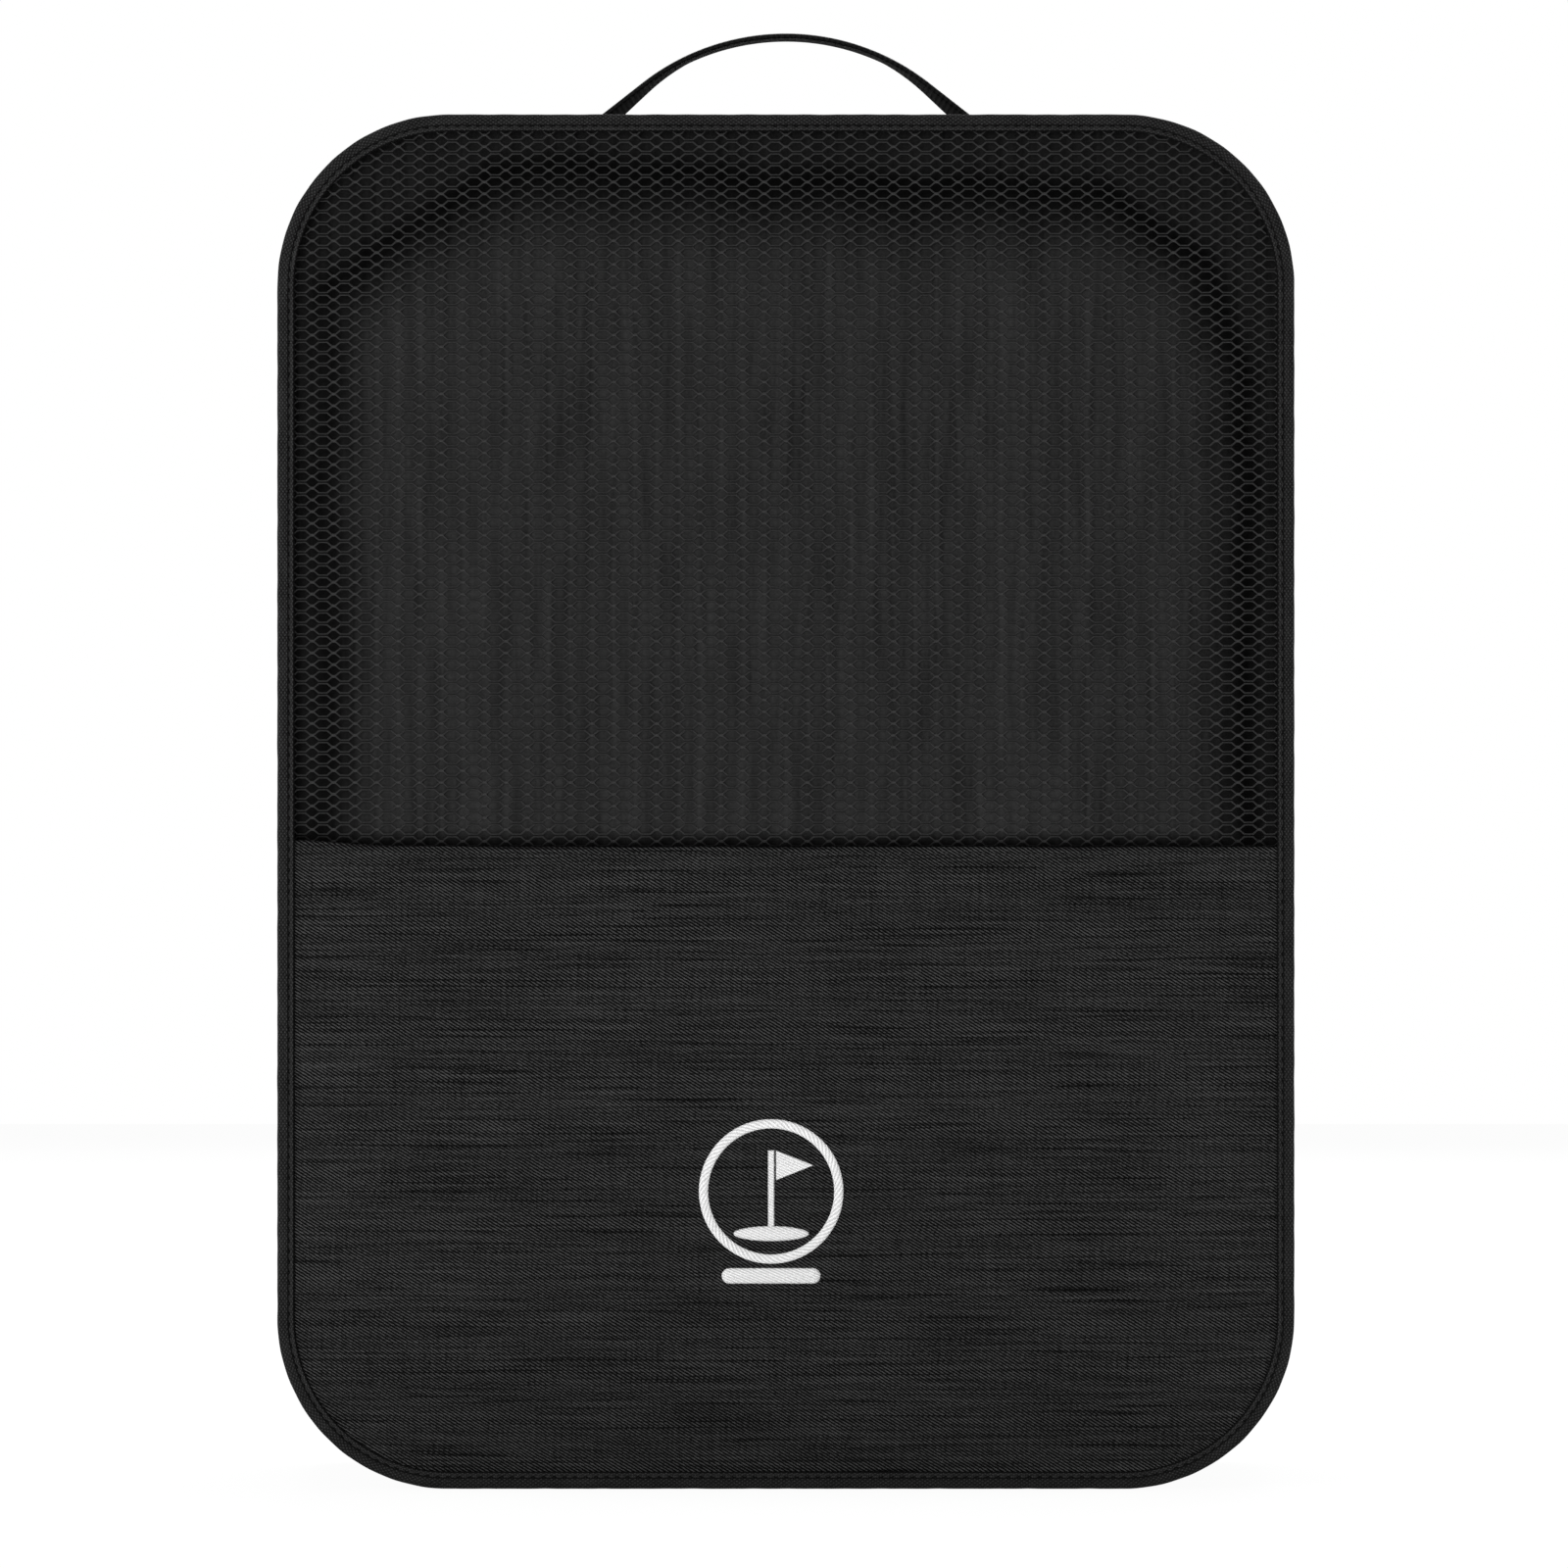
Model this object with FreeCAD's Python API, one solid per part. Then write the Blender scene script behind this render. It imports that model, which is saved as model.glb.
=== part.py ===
"""Zip-round shoe bag: a boxy soft case with a mesh window, a bound edge and a webbing handle.

The bag stands on its two bound edges. +Z is up, the window faces -Y, and the origin is on
the floor under the middle of the bag. Lengths are millimetres and angles are degrees.

The shell is the gusset, its foam and lining, and the padded back panel. The front cover is
the window panel in its own binding, and a zip joins it to the shell along both sides and
the top. Along the bottom a strip of cloth is its hinge.
"""
import FreeCAD
import Part
import math
import os

from FreeCAD import Vector

# Overall size
bag_width = 222.0
bag_height = 300.0
bag_depth = 120.0
corner_radius = 37.4

# Cloth, foam and lining of the front and back panels, from the outside in
panel_cloth = 0.8
panel_foam = 2.4
panel_lining = 0.6

# The gusset's layers, and how far it lies inside the bound edges
gusset_sunk = 2.0
gusset_cloth = 1.0
gusset_foam = 3.0
gusset_lining = 0.6

# Edge binding, and the cord that fills it
binding_tape = 0.6
binding_width = 3.8         # as seen from the front
binding_lap = 1.0           # how far the tape laps over a panel
binding_round = 1.2

# Mesh window above the lower panel
window_sill = 140.3         # height of the lower panel's top edge
mesh_thickness = 0.4
mesh_tail = 9.0             # mesh that runs down behind the lower panel
seam_gap = 0.3

# Zip
zip_end_angle = 35.0        # where the shell's half ends, on the bottom corners from straight down
cover_end_gap = 2.0         # the cover's half ends this much sooner
tape_visible = 8.0          # tape shown on each side of the teeth
tape_thickness = 0.5
tape_tuck = 3.0             # tape hidden under the gusset's edge
tape_under_teeth = 2.0
teeth_width = 2.5           # one row
teeth_slot = 1.0            # between the two rows
teeth_height = 1.2
end_tab_angle = 8.0         # of the bottom corner that each end tab covers
end_tab_thickness = 1.2
end_tab_lap = 3.0           # past the teeth on both sides

# Binding of the shell's mouth, inside the bag
mouth_web = 1.5             # over the raw edge of the foam and lining
mouth_flange = 9.0          # over the lining
mouth_tape = 0.5
mouth_gap = 0.2

# Hinge strip under the front edge
hinge_clearance = 0.4
hinge_step = 2.6            # the bottom foam starts this far behind the bottom cloth
hinge_strip_length = 16.0
hinge_strip_thickness = 0.6

# Zip sliders
slider_length = 9.0
slider_width = 7.5
slider_plate = 0.9
slider_play = 0.2           # between a slider and the teeth or the tape
slider_corner = 1.4
slider_meeting_gap = 0.4    # between the two closed sliders
post_length = 2.6
post_width = 0.6
lug_length = 4.4
lug_width = 1.6
lug_height = 1.7
lug_slot_length = 2.8
lug_slot_height = 1.0
lug_slot_floor = 0.1

# Pull tabs
pull_length = 24.0
pull_width = 6.4
pull_thickness = 0.9
pull_pin_radius = 0.4
pull_window_length = 3.2
pull_window_width = 3.0
pull_corner = 1.6

# Handle
strap_width = 15.0
strap_thickness = 1.2
foot_length = 22.0          # strap that is sewn flat to the top of the bag
foot_half_span = 45.4       # middle of the bag to where a leg leaves the top
foot_bend = 5.0
crown_rise = 35.3           # height of the corner that the crown's curve rounds off
crown_bend = 51.4
pivot_clearance = 0.5       # between the swung strap's edge and the top of the bag

# Divider between the two shoes, and the fastening strips that hold it
divider_thickness = 5.0
divider_setback = 25.0      # from the front cover's lining
strip_width = 20.0
strip_thickness = 0.6
strip_front_gap = 1.0       # behind the mouth's flange
strip_back_gap = 6.0        # from the back lining

# Emblem on the lower panel: a ring round a flag on a green, and a plain bar
emblem_x = -3.2
emblem_height = 65.0
emblem_radius = 15.8
emblem_stroke = 2.1
stitch_height = 0.5
pin_height = 18.0
pin_width = 1.3
pennant_length = 8.5
pennant_drop = 6.5
green_length = 16.0
green_width = 3.6
bar_length = 21.6
bar_width = 3.4
bar_gap = 0.9               # between the ring and the bar

# Planes along the bag's depth, from the front to the back
front = -bag_depth / 2
back = bag_depth / 2
panel_depth = panel_cloth + panel_foam + panel_lining
binding_depth = panel_depth + 2 * binding_tape
cloth_back = front + binding_tape + panel_cloth
mesh_back = cloth_back + mesh_thickness
cover_lining_front = cloth_back + panel_foam
cover_inside = cover_lining_front + panel_lining
cover_back = front + binding_depth
teeth_start = cover_back + tape_visible
cover_teeth_end = teeth_start + teeth_width
shell_teeth_start = cover_teeth_end + teeth_slot
teeth_end = shell_teeth_start + teeth_width
zip_middle = (cover_teeth_end + shell_teeth_start) / 2
gusset_start = teeth_end + tape_visible
foam_start = gusset_start + tape_tuck + mouth_gap
shell_back = back - binding_depth
shell_inside = shell_back + binding_tape

# Insets from the bag's outline
panel_inset = binding_width - binding_lap
tape_inset = gusset_sunk + gusset_cloth
foam_inset = tape_inset
lining_inset = foam_inset + gusset_foam
inside_inset = lining_inset + gusset_lining
teeth_inset = tape_inset - teeth_height

# Hinge line and the bottom cloth that the cover's bound edge swings past
hinge_y = front + binding_depth / 2
hinge_z = binding_depth / 2
bottom_start = hinge_y + math.hypot(binding_depth / 2, hinge_z) + hinge_clearance
bottom_foam_start = bottom_start + hinge_step

# Top of the bag, and the line about which the handle swings
corner_x = bag_width / 2 - corner_radius
top_cloth = bag_height - gusset_sunk
pivot_height = top_cloth + strap_width / 2 + pivot_clearance


# Shapes that follow the bag's outline
def slab(inset, y0, y1):
    """The bag's rounded outline, drawn in by inset, between two planes."""
    corner = Vector(inset - bag_width / 2, y0, inset)
    block = Part.makeBox(bag_width - 2 * inset, y1 - y0, bag_height - 2 * inset, corner)
    edges = [edge for edge in block.Edges if abs(edge.tangentAt(edge.FirstParameter).y) > 0.5]
    return block.makeFillet(corner_radius - inset, edges)


def band(outer, inner, y0, y1):
    """A closed wall between two insets."""
    return slab(outer, y0, y1).cut(slab(inner, y0, y1))


def bottom_sector(angle):
    """All that lies below the bottom corners, up to an angle from straight down."""
    reach = bag_width
    run, drop = reach * math.sin(math.radians(angle)), reach * math.cos(math.radians(angle))
    points = [
        (-corner_x, corner_radius),
        (-corner_x - run, corner_radius - drop),
        (corner_x + run, corner_radius - drop),
        (corner_x, corner_radius),
    ]
    vectors = [Vector(x, -bag_depth, z) for x, z in points]
    face = Part.Face(Part.makePolygon(vectors + vectors[:1]))
    return face.extrude(Vector(0, 2 * bag_depth, 0))


def arch(outer, inner, y0, y1, angle=zip_end_angle):
    """A wall up both sides and over the top, from an angle on the bottom corners."""
    return band(outer, inner, y0, y1).cut(bottom_sector(angle))


def trough(outer, inner, y0, y1, angle=zip_end_angle):
    """A wall along the bottom and round the corners, up to an angle."""
    return band(outer, inner, y0, y1).common(bottom_sector(angle))


def box(x0, x1, y0, y1, z0, z1):
    return Part.makeBox(x1 - x0, y1 - y0, z1 - z0, Vector(x0, y0, z0))


def above(height):
    return box(-bag_width, bag_width, -bag_depth, bag_depth, height, 2 * bag_height)


def below(height):
    return box(-bag_width, bag_width, -bag_depth, bag_depth, -bag_height, height)


def mirrored(shape):
    """The same piece on the left of the bag."""
    return shape.mirror(Vector(0, 0, 0), Vector(1, 0, 0))


# Bound edges
def binding(y0):
    """Tape folded round a panel's edge, with its outer corners rounded."""
    y1 = y0 + binding_depth
    outer = slab(0, y0, y1)
    rim = [edge for edge in outer.Edges if abs(edge.tangentAt(edge.FirstParameter).y) < 0.5]
    fold = outer.makeFillet(binding_round, rim)
    fold = fold.cut(slab(binding_width, y0, y1))
    return fold.cut(slab(binding_tape, y0 + binding_tape, y1 - binding_tape))


def binding_cord(y0):
    """Cord that fills the fold outside the panel's edge."""
    return band(binding_tape, panel_inset, y0 + binding_tape, y0 + binding_depth - binding_tape)


# Front cover
def lower_panel():
    return slab(panel_inset, front + binding_tape, cloth_back).common(below(window_sill))


def mesh_window():
    return slab(panel_inset, cloth_back, mesh_back).common(above(window_sill - mesh_tail))


def window_backing():
    """Padding that shows through the mesh."""
    return slab(panel_inset, mesh_back, cover_lining_front).common(above(window_sill - mesh_tail))


def lower_foam():
    low = window_sill - mesh_tail - seam_gap
    return slab(panel_inset, cloth_back, cover_lining_front).common(below(low))


def cover_lining():
    return slab(panel_inset, cover_lining_front, cover_inside)


# Zip
def cover_zip_tape():
    end = cover_teeth_end - teeth_width + tape_under_teeth
    return arch(tape_inset, tape_inset + tape_thickness, cover_back, end, zip_end_angle + cover_end_gap)


def cover_zip_teeth():
    return arch(teeth_inset, tape_inset, teeth_start, cover_teeth_end, zip_end_angle + cover_end_gap)


def shell_zip_tape():
    start = shell_teeth_start + teeth_width - tape_under_teeth
    return arch(tape_inset, tape_inset + tape_thickness, start, gusset_start + tape_tuck)


def shell_zip_teeth():
    return arch(teeth_inset, tape_inset, shell_teeth_start, teeth_end)


def zip_end_tab():
    """Patch on the bottom cloth that the right-hand end of the zip runs into."""
    top = gusset_sunk - end_tab_thickness
    wall = trough(top, gusset_sunk, teeth_start - end_tab_lap, teeth_end + end_tab_lap)
    wall = wall.cut(bottom_sector(zip_end_angle - end_tab_angle))
    return wall.common(box(0, bag_width, -bag_depth, bag_depth, 0, bag_height))


# Zip sliders and pull tabs, made at the top of the bag with the slider's middle at x = 0
slider_top = bag_height - teeth_inset + slider_play + slider_plate
pull_axis_height = slider_top + lug_slot_floor + lug_slot_height / 2
slider_x = (slider_length + slider_meeting_gap) / 2


def slider():
    """Top and bottom plates, the post between the two rows of teeth, and the pull's lug."""
    half_length, half_width = slider_length / 2, slider_width / 2
    y0, y1 = zip_middle - half_width, zip_middle + half_width
    plate_top = bag_height - tape_inset - tape_thickness - slider_play
    plate = box(-half_length, half_length, y0, y1, plate_top - slider_plate, slider_top)
    upright = [edge for edge in plate.Edges if abs(edge.tangentAt(edge.FirstParameter).z) > 0.5]
    plate = plate.makeFillet(slider_corner, upright)
    middle = box(-slider_length, slider_length, -bag_depth, bag_depth, plate_top, slider_top - slider_plate)
    post = box(-post_length / 2, post_length / 2, zip_middle - post_width / 2, zip_middle + post_width / 2,
               plate_top - slider_plate / 2, slider_top - slider_plate / 2)
    lug = box(-lug_length / 2, lug_length / 2, zip_middle - lug_width / 2, zip_middle + lug_width / 2,
              slider_top, slider_top + lug_height)
    slot_floor = slider_top + lug_slot_floor
    slot = box(-lug_slot_length / 2, lug_slot_length / 2, zip_middle - lug_width, zip_middle + lug_width,
               slot_floor, slot_floor + lug_slot_height)
    return plate.cut(middle).fuse([post, lug.cut(slot)]).removeSplitter()


def pull_tab():
    """Flat tab whose pin lies in the lug's slot, with a window that clears the lug."""
    half_width, half_thick = pull_width / 2, pull_thickness / 2
    tab = box(0, pull_length, zip_middle - half_width, zip_middle + half_width,
              pull_axis_height - half_thick, pull_axis_height + half_thick)
    far = [edge for edge in tab.Edges
           if abs(edge.tangentAt(edge.FirstParameter).z) > 0.5 and edge.CenterOfMass.x > pull_length / 2]
    tab = tab.makeFillet(pull_corner, far)
    eye = Part.makeCylinder(half_thick, pull_width, Vector(0, zip_middle - half_width, pull_axis_height),
                            Vector(0, 1, 0))
    half_window = pull_window_width / 2
    window_end = pull_pin_radius + pull_window_length
    window = box(-pull_length, window_end, zip_middle - half_window, zip_middle + half_window,
                 pull_axis_height - pull_thickness, pull_axis_height + pull_thickness)
    pin = Part.makeCylinder(pull_pin_radius, pull_width - pull_thickness,
                            Vector(0, zip_middle - half_width + half_thick, pull_axis_height), Vector(0, 1, 0))
    return tab.fuse(eye).cut(window).fuse(pin).removeSplitter()


def at_slider(shape):
    """The right-hand slider's place when the bag is closed."""
    return shape.translated(Vector(slider_x, 0, 0))


# Shell
def side_gusset():
    return arch(gusset_sunk, tape_inset, gusset_start, shell_back)


def gusset_pad():
    return arch(foam_inset, lining_inset, foam_start, shell_back)


def gusset_lining_wall():
    return arch(lining_inset, inside_inset, foam_start, shell_inside)


def bottom_gusset():
    return trough(gusset_sunk, tape_inset, bottom_start, shell_back)


def bottom_pad():
    return trough(foam_inset, lining_inset, bottom_foam_start, shell_back)


def bottom_lining():
    return trough(lining_inset, inside_inset, bottom_foam_start, shell_inside)


def mouth_edge(wall, start, outer):
    """Binding of the mouth's raw edge: a web in front of the layers and a flange over the lining."""
    web = wall(outer, inside_inset + mouth_tape, start - mouth_web, start)
    flange = wall(inside_inset, inside_inset + mouth_tape, start, start - mouth_web + mouth_flange)
    return web.fuse(flange).removeSplitter()


def mouth_binding():
    return mouth_edge(arch, foam_start, tape_inset + tape_thickness)


def sill_binding():
    return mouth_edge(trough, bottom_foam_start, tape_inset)


def back_layer(y0, y1):
    return slab(panel_inset, y0, y1)


def hinge_strip():
    """Cloth that joins the cover's bound edge to the underside of the bottom."""
    return box(-corner_x, corner_x, cover_back, cover_back + hinge_strip_length,
               gusset_sunk - hinge_strip_thickness, gusset_sunk)


# Handle
def bent_strip(points, bends, thickness, width):
    """A flat strip along a route in the XZ plane, each of whose corners has its own radius."""
    route = [Vector(x, 0, z) for x, z in points]
    edges = []
    start = route[0]
    for before, corner, after, bend in zip(route, route[1:], route[2:], bends):
        incoming, outgoing = (corner - before).normalize(), (after - corner).normalize()
        half_turn = incoming.getAngle(outgoing) / 2
        setback = bend * math.tan(half_turn)
        inward = (outgoing - incoming).normalize()
        middle = corner + inward * (bend / math.cos(half_turn) - bend)
        arc_start, arc_end = corner - incoming * setback, corner + outgoing * setback
        edges.append(Part.LineSegment(start, arc_start).toShape())
        edges.append(Part.Arc(arc_start, middle, arc_end).toShape())
        start = arc_end
    edges.append(Part.LineSegment(start, route[-1]).toShape())
    first_run = (route[1] - route[0]).normalize()
    side = Vector(0, width / 2, 0)
    rise = first_run.cross(Vector(0, 1, 0)) * (thickness / 2)
    rim = [route[0] + side + rise, route[0] - side + rise, route[0] - side - rise, route[0] + side - rise]
    shell = Part.BRepOffsetAPI.MakePipeShell(Part.Wire(edges))
    shell.setBiNormalMode(Vector(0, 1, 0))
    shell.add(Part.makePolygon(rim + rim[:1]))
    shell.build()
    shell.makeSolid()
    return shell.shape()


def webbing():
    """The whole strap, from one sewn foot over the crown to the other."""
    level = top_cloth + strap_thickness / 2
    foot_end = foot_half_span + foot_length
    points = [(-foot_end, level), (-foot_half_span, level), (0, level + crown_rise),
              (foot_half_span, level), (foot_end, level)]
    return bent_strip(points, [foot_bend, crown_bend, foot_bend], strap_thickness, strap_width)


def handle_strap():
    return webbing().common(above(pivot_height))


def handle_foot():
    right = box(0, bag_width, -bag_depth, bag_depth, 0, pivot_height)
    return webbing().common(right)


# Divider
divider_front = cover_inside + divider_setback
strip_level = inside_inset + strip_thickness
divider_level = strip_level + strip_thickness


def divider_panel():
    half = divider_thickness / 2
    return box(-half, half, divider_front, shell_inside, divider_level, bag_height - divider_level)


def strip_pair(level):
    """Two strips, one at the bottom and one at the top, whose outer faces lie at an inset."""
    half = strip_width / 2
    y0, y1 = foam_start - mouth_web + mouth_flange + strip_front_gap, shell_inside - strip_back_gap
    low = box(-half, half, y0, y1, level, level + strip_thickness)
    high = box(-half, half, y0, y1, bag_height - level - strip_thickness, bag_height - level)
    return Part.makeCompound([low, high])


# Emblem
def emblem_layer(*faces):
    """A figure of flat faces in the XZ plane, raised off the lower panel and put in its place."""
    stitches = [face.extrude(Vector(0, stitch_height, 0)) for face in faces]
    figure = stitches[0].multiFuse(stitches[1:]).removeSplitter() if len(stitches) > 1 else stitches[0]
    return figure.translated(Vector(emblem_x, front + binding_tape - stitch_height, emblem_height))


def disc(radius, x=0.0, z=0.0):
    circle = Part.Circle(Vector(x, 0, z), Vector(0, 1, 0), radius)
    return Part.Face(Part.Wire(circle.toShape()))


def flat_polygon(points):
    vectors = [Vector(x, 0, z) for x, z in points]
    return Part.Face(Part.makePolygon(vectors + vectors[:1]))


def emblem_ring():
    return emblem_layer(disc(emblem_radius).cut(disc(emblem_radius - emblem_stroke)))


def emblem_flag():
    """Flag pin with a pennant, standing on a lens-shaped green."""
    foot, top = -pin_height / 2, pin_height / 2
    half = pin_width / 2
    pin = flat_polygon([(-half, foot), (half, foot), (half, top), (-half, top)])
    pennant = flat_polygon([(half, top), (half + pennant_length, top - pennant_drop / 2),
                            (half, top - pennant_drop)])
    green_radius = ((green_length / 2) ** 2 + (green_width / 2) ** 2) / green_width
    offset = green_radius - green_width / 2
    green = disc(green_radius, 0, foot - offset).common(disc(green_radius, 0, foot + offset))
    return emblem_layer(pin, pennant, green)


def emblem_bar():
    """Bar with round ends below the ring."""
    half, end = bar_width / 2, (bar_length - bar_width) / 2
    level = -emblem_radius - bar_gap - half
    middle = flat_polygon([(-end, level - half), (end, level - half), (end, level + half), (-end, level + half)])
    return emblem_layer(middle, disc(half, -end, level), disc(half, end, level))


def build():
    """Every piece of the bag, by name."""
    right_slider, right_pull, right_foot, right_tab = slider(), pull_tab(), handle_foot(), zip_end_tab()
    return {
        "front_binding": binding(front),
        "front_binding_cord": binding_cord(front),
        "lower_panel": lower_panel(),
        "lower_panel_foam": lower_foam(),
        "mesh_window": mesh_window(),
        "window_backing": window_backing(),
        "cover_lining": cover_lining(),
        "cover_zip_tape": cover_zip_tape(),
        "cover_zip_teeth": cover_zip_teeth(),
        "emblem_ring": emblem_ring(),
        "emblem_flag": emblem_flag(),
        "emblem_bar": emblem_bar(),
        "side_gusset": side_gusset(),
        "side_gusset_foam": gusset_pad(),
        "side_gusset_lining": gusset_lining_wall(),
        "bottom_gusset": bottom_gusset(),
        "bottom_gusset_foam": bottom_pad(),
        "bottom_gusset_lining": bottom_lining(),
        "mouth_binding": mouth_binding(),
        "sill_binding": sill_binding(),
        "shell_zip_tape": shell_zip_tape(),
        "shell_zip_teeth": shell_zip_teeth(),
        "zip_end_tab_right": right_tab,
        "zip_end_tab_left": mirrored(right_tab),
        "back_panel": back_layer(back - binding_tape - panel_cloth, back - binding_tape),
        "back_panel_foam": back_layer(shell_inside + panel_lining, back - binding_tape - panel_cloth),
        "back_panel_lining": back_layer(shell_inside, shell_inside + panel_lining),
        "rear_binding": binding(shell_back),
        "rear_binding_cord": binding_cord(shell_back),
        "hinge_strip": hinge_strip(),
        "divider_panel": divider_panel(),
        "divider_hook_strips": strip_pair(strip_level),
        "lining_loop_strips": strip_pair(inside_inset),
        "zip_slider_right": at_slider(right_slider),
        "zip_slider_left": mirrored(at_slider(right_slider)),
        "pull_tab_right": at_slider(right_pull),
        "pull_tab_left": mirrored(at_slider(right_pull)),
        "handle_foot_right": right_foot,
        "handle_foot_left": mirrored(right_foot),
        "handle_strap": handle_strap(),
    }


os.makedirs("parts", exist_ok=True)
for name, shape in build().items():
    shape.exportStep(f"parts/{name}.step")
    extent = shape.BoundBox
    print(f"{name:22s} solids {len(shape.Solids)} valid {shape.isValid()} volume {shape.Volume:10.1f}"
          f"  y {extent.YMin:7.2f} {extent.YMax:7.2f}  z {extent.ZMin:7.2f} {extent.ZMax:7.2f}")
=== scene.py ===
import bmesh
import bpy
import math
import numpy as np
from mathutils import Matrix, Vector
from mathutils.bvhtree import BVHTree


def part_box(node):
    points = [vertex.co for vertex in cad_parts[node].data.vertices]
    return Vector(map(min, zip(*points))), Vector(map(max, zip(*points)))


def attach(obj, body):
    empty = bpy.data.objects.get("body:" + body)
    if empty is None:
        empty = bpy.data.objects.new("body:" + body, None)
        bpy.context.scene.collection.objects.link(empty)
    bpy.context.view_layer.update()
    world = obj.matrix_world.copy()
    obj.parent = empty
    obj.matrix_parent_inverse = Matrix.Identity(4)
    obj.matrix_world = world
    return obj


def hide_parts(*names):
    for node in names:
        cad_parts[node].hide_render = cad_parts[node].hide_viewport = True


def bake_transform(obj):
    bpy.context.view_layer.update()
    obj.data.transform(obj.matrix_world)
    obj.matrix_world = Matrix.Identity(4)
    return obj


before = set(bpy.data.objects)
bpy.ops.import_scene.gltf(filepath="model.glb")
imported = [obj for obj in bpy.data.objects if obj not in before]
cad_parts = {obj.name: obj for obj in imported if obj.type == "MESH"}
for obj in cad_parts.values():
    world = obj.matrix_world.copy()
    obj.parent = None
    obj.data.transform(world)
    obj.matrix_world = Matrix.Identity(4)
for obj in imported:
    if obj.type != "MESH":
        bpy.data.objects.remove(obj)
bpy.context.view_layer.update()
mm = 0.001


def corners(node):
    low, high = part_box(node)
    return np.array(low, float), np.array(high, float)


# The bag's outline and the depth of each layer, from the frame
outer = corners("front_binding")
bag = {
    "half": outer[1][0],
    "height": outer[1][2],
    "corner": 37.4 * mm,
    "front": outer[0][1],
    "coverBack": outer[1][1],
    "shellBack": corners("rear_binding")[0][1],
    "back": corners("rear_binding")[1][1],
}
zipEnd = {"shell": 35.0, "cover": 37.0}  # degrees up the bottom corners


def insetOf(node):
    return bag["half"] - corners(node)[1][0]


panelInset = insetOf("lower_panel")
panelTop = bag["height"] - panelInset


# Shader graphs: a wire is a socket with arithmetic, a finish is a material
class Wire:
    def __init__(self, graph, socket):
        self.graph, self.socket = graph, socket

    def apply(self, operation, *others):
        values = dict(enumerate((self,) + others))
        return self.graph.node("ShaderNodeMath", {"operation": operation}, values)

    def swapped(self, operation, other):
        return self.graph.node("ShaderNodeMath", {"operation": operation}, {0: other, 1: self})

    def __add__(self, other):
        return self.apply("ADD", other)

    def __mul__(self, other):
        return self.apply("MULTIPLY", other)

    def __sub__(self, other):
        return self.apply("SUBTRACT", other)

    def __rsub__(self, other):
        return self.swapped("SUBTRACT", other)

    def __truediv__(self, other):
        return self.apply("DIVIDE", other)

    __radd__, __rmul__ = __add__, __mul__

    def wave(self, length):  # 0 to 1 and back over each length
        return (self * (2 * math.pi / length)).apply("SINE") * 0.5 + 0.5

    def between(self, low, high):  # 0 below low, 1 above high, smooth between them
        settings = {"interpolation_type": "SMOOTHSTEP"}
        return self.graph.node("ShaderNodeMapRange", settings, {0: self, 1: low, 2: high, 3: 0.0, 4: 1.0})


class Graph:
    def __init__(self, tree):
        self.tree = tree

    def node(self, kind, settings, inputs, output=0):
        made = self.tree.nodes.new(kind)
        for key, value in settings.items():
            setattr(made, key, value)
        for key, value in inputs.items():
            self.feed(made.inputs[key], value)
        return Wire(self, made.outputs[output])

    def feed(self, socket, value):
        if isinstance(value, Wire):
            self.tree.links.new(value.socket, socket)
        else:
            socket.default_value = value

    def rays(self, *kinds):  # 1 for a ray of each kind
        path = self.tree.nodes.new("ShaderNodeLightPath")
        return [Wire(self, path.outputs[f"Is {kind} Ray"]) for kind in kinds]


class Finish(Graph):
    def __init__(self, name, roughness, specular):
        self.material = bpy.data.materials.new(name)
        self.material.use_nodes = True
        super().__init__(self.material.node_tree)
        self.tree.nodes.clear()
        self.shader = self.tree.nodes.new("ShaderNodeBsdfPrincipled")
        self.output = self.tree.nodes.new("ShaderNodeOutputMaterial")
        self.tree.links.new(self.shader.outputs[0], self.output.inputs[0])
        self.shader.inputs["Roughness"].default_value = roughness
        self.shader.inputs["Specular IOR Level"].default_value = specular

    def place(self, layer="cloth"):  # millimetres along and across the cloth, or another layer's two values
        uv = self.node("ShaderNodeUVMap", {"uv_map": layer}, {})
        scale = 1000.0 if layer == "cloth" else 1.0
        return [self.node("ShaderNodeSeparateXYZ", {}, {0: uv}, axis) * scale for axis in (0, 1)]

    def noise(self, along, across, seed=0.0, detail=2.0, roughness=0.5):
        spot = self.node("ShaderNodeCombineXYZ", {}, {0: along, 1: across, 2: seed})
        settings = {"noise_dimensions": "3D"}
        values = {"Vector": spot, "Scale": 1.0, "Detail": detail, "Roughness": roughness}
        return self.node("ShaderNodeTexNoise", settings, values)

    def mix(self, amount, first, second):
        settings = {"data_type": "RGBA"}
        return self.node("ShaderNodeMix", settings, {0: amount, 6: first, 7: second}, 2)

    def colour(self, value):
        self.feed(self.shader.inputs["Base Color"], value)

    def tint(self, tone, dark, light):  # grey from dark to light as the tone goes from 0 to 1
        self.colour(self.mix(tone, grey(dark), grey(light)))

    def rough(self, value):
        self.feed(self.shader.inputs["Roughness"], value)

    def bump(self, height, depth, strength=1.0):
        values = {"Height": height, "Distance": depth, "Strength": strength}
        self.feed(self.shader.inputs["Normal"], self.node("ShaderNodeBump", {}, values))


def grey(level):  # a display tone from 0 to 255 as a linear colour
    return ((level / 255) ** 2.2,) * 3 + (1.0,)


def clothFinish(name, roughness, specular):
    finish = Finish(name, roughness, specular)
    return finish, *finish.place()


# Finishes
twill = {"along": 1.15, "across": 0.70, "dash": 1.0, "yarn": 1.35, "weft": 1.45, "warp": 0.35, "cloud": 0.16,
         "slub": 0.32, "darker": 0.28}


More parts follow.
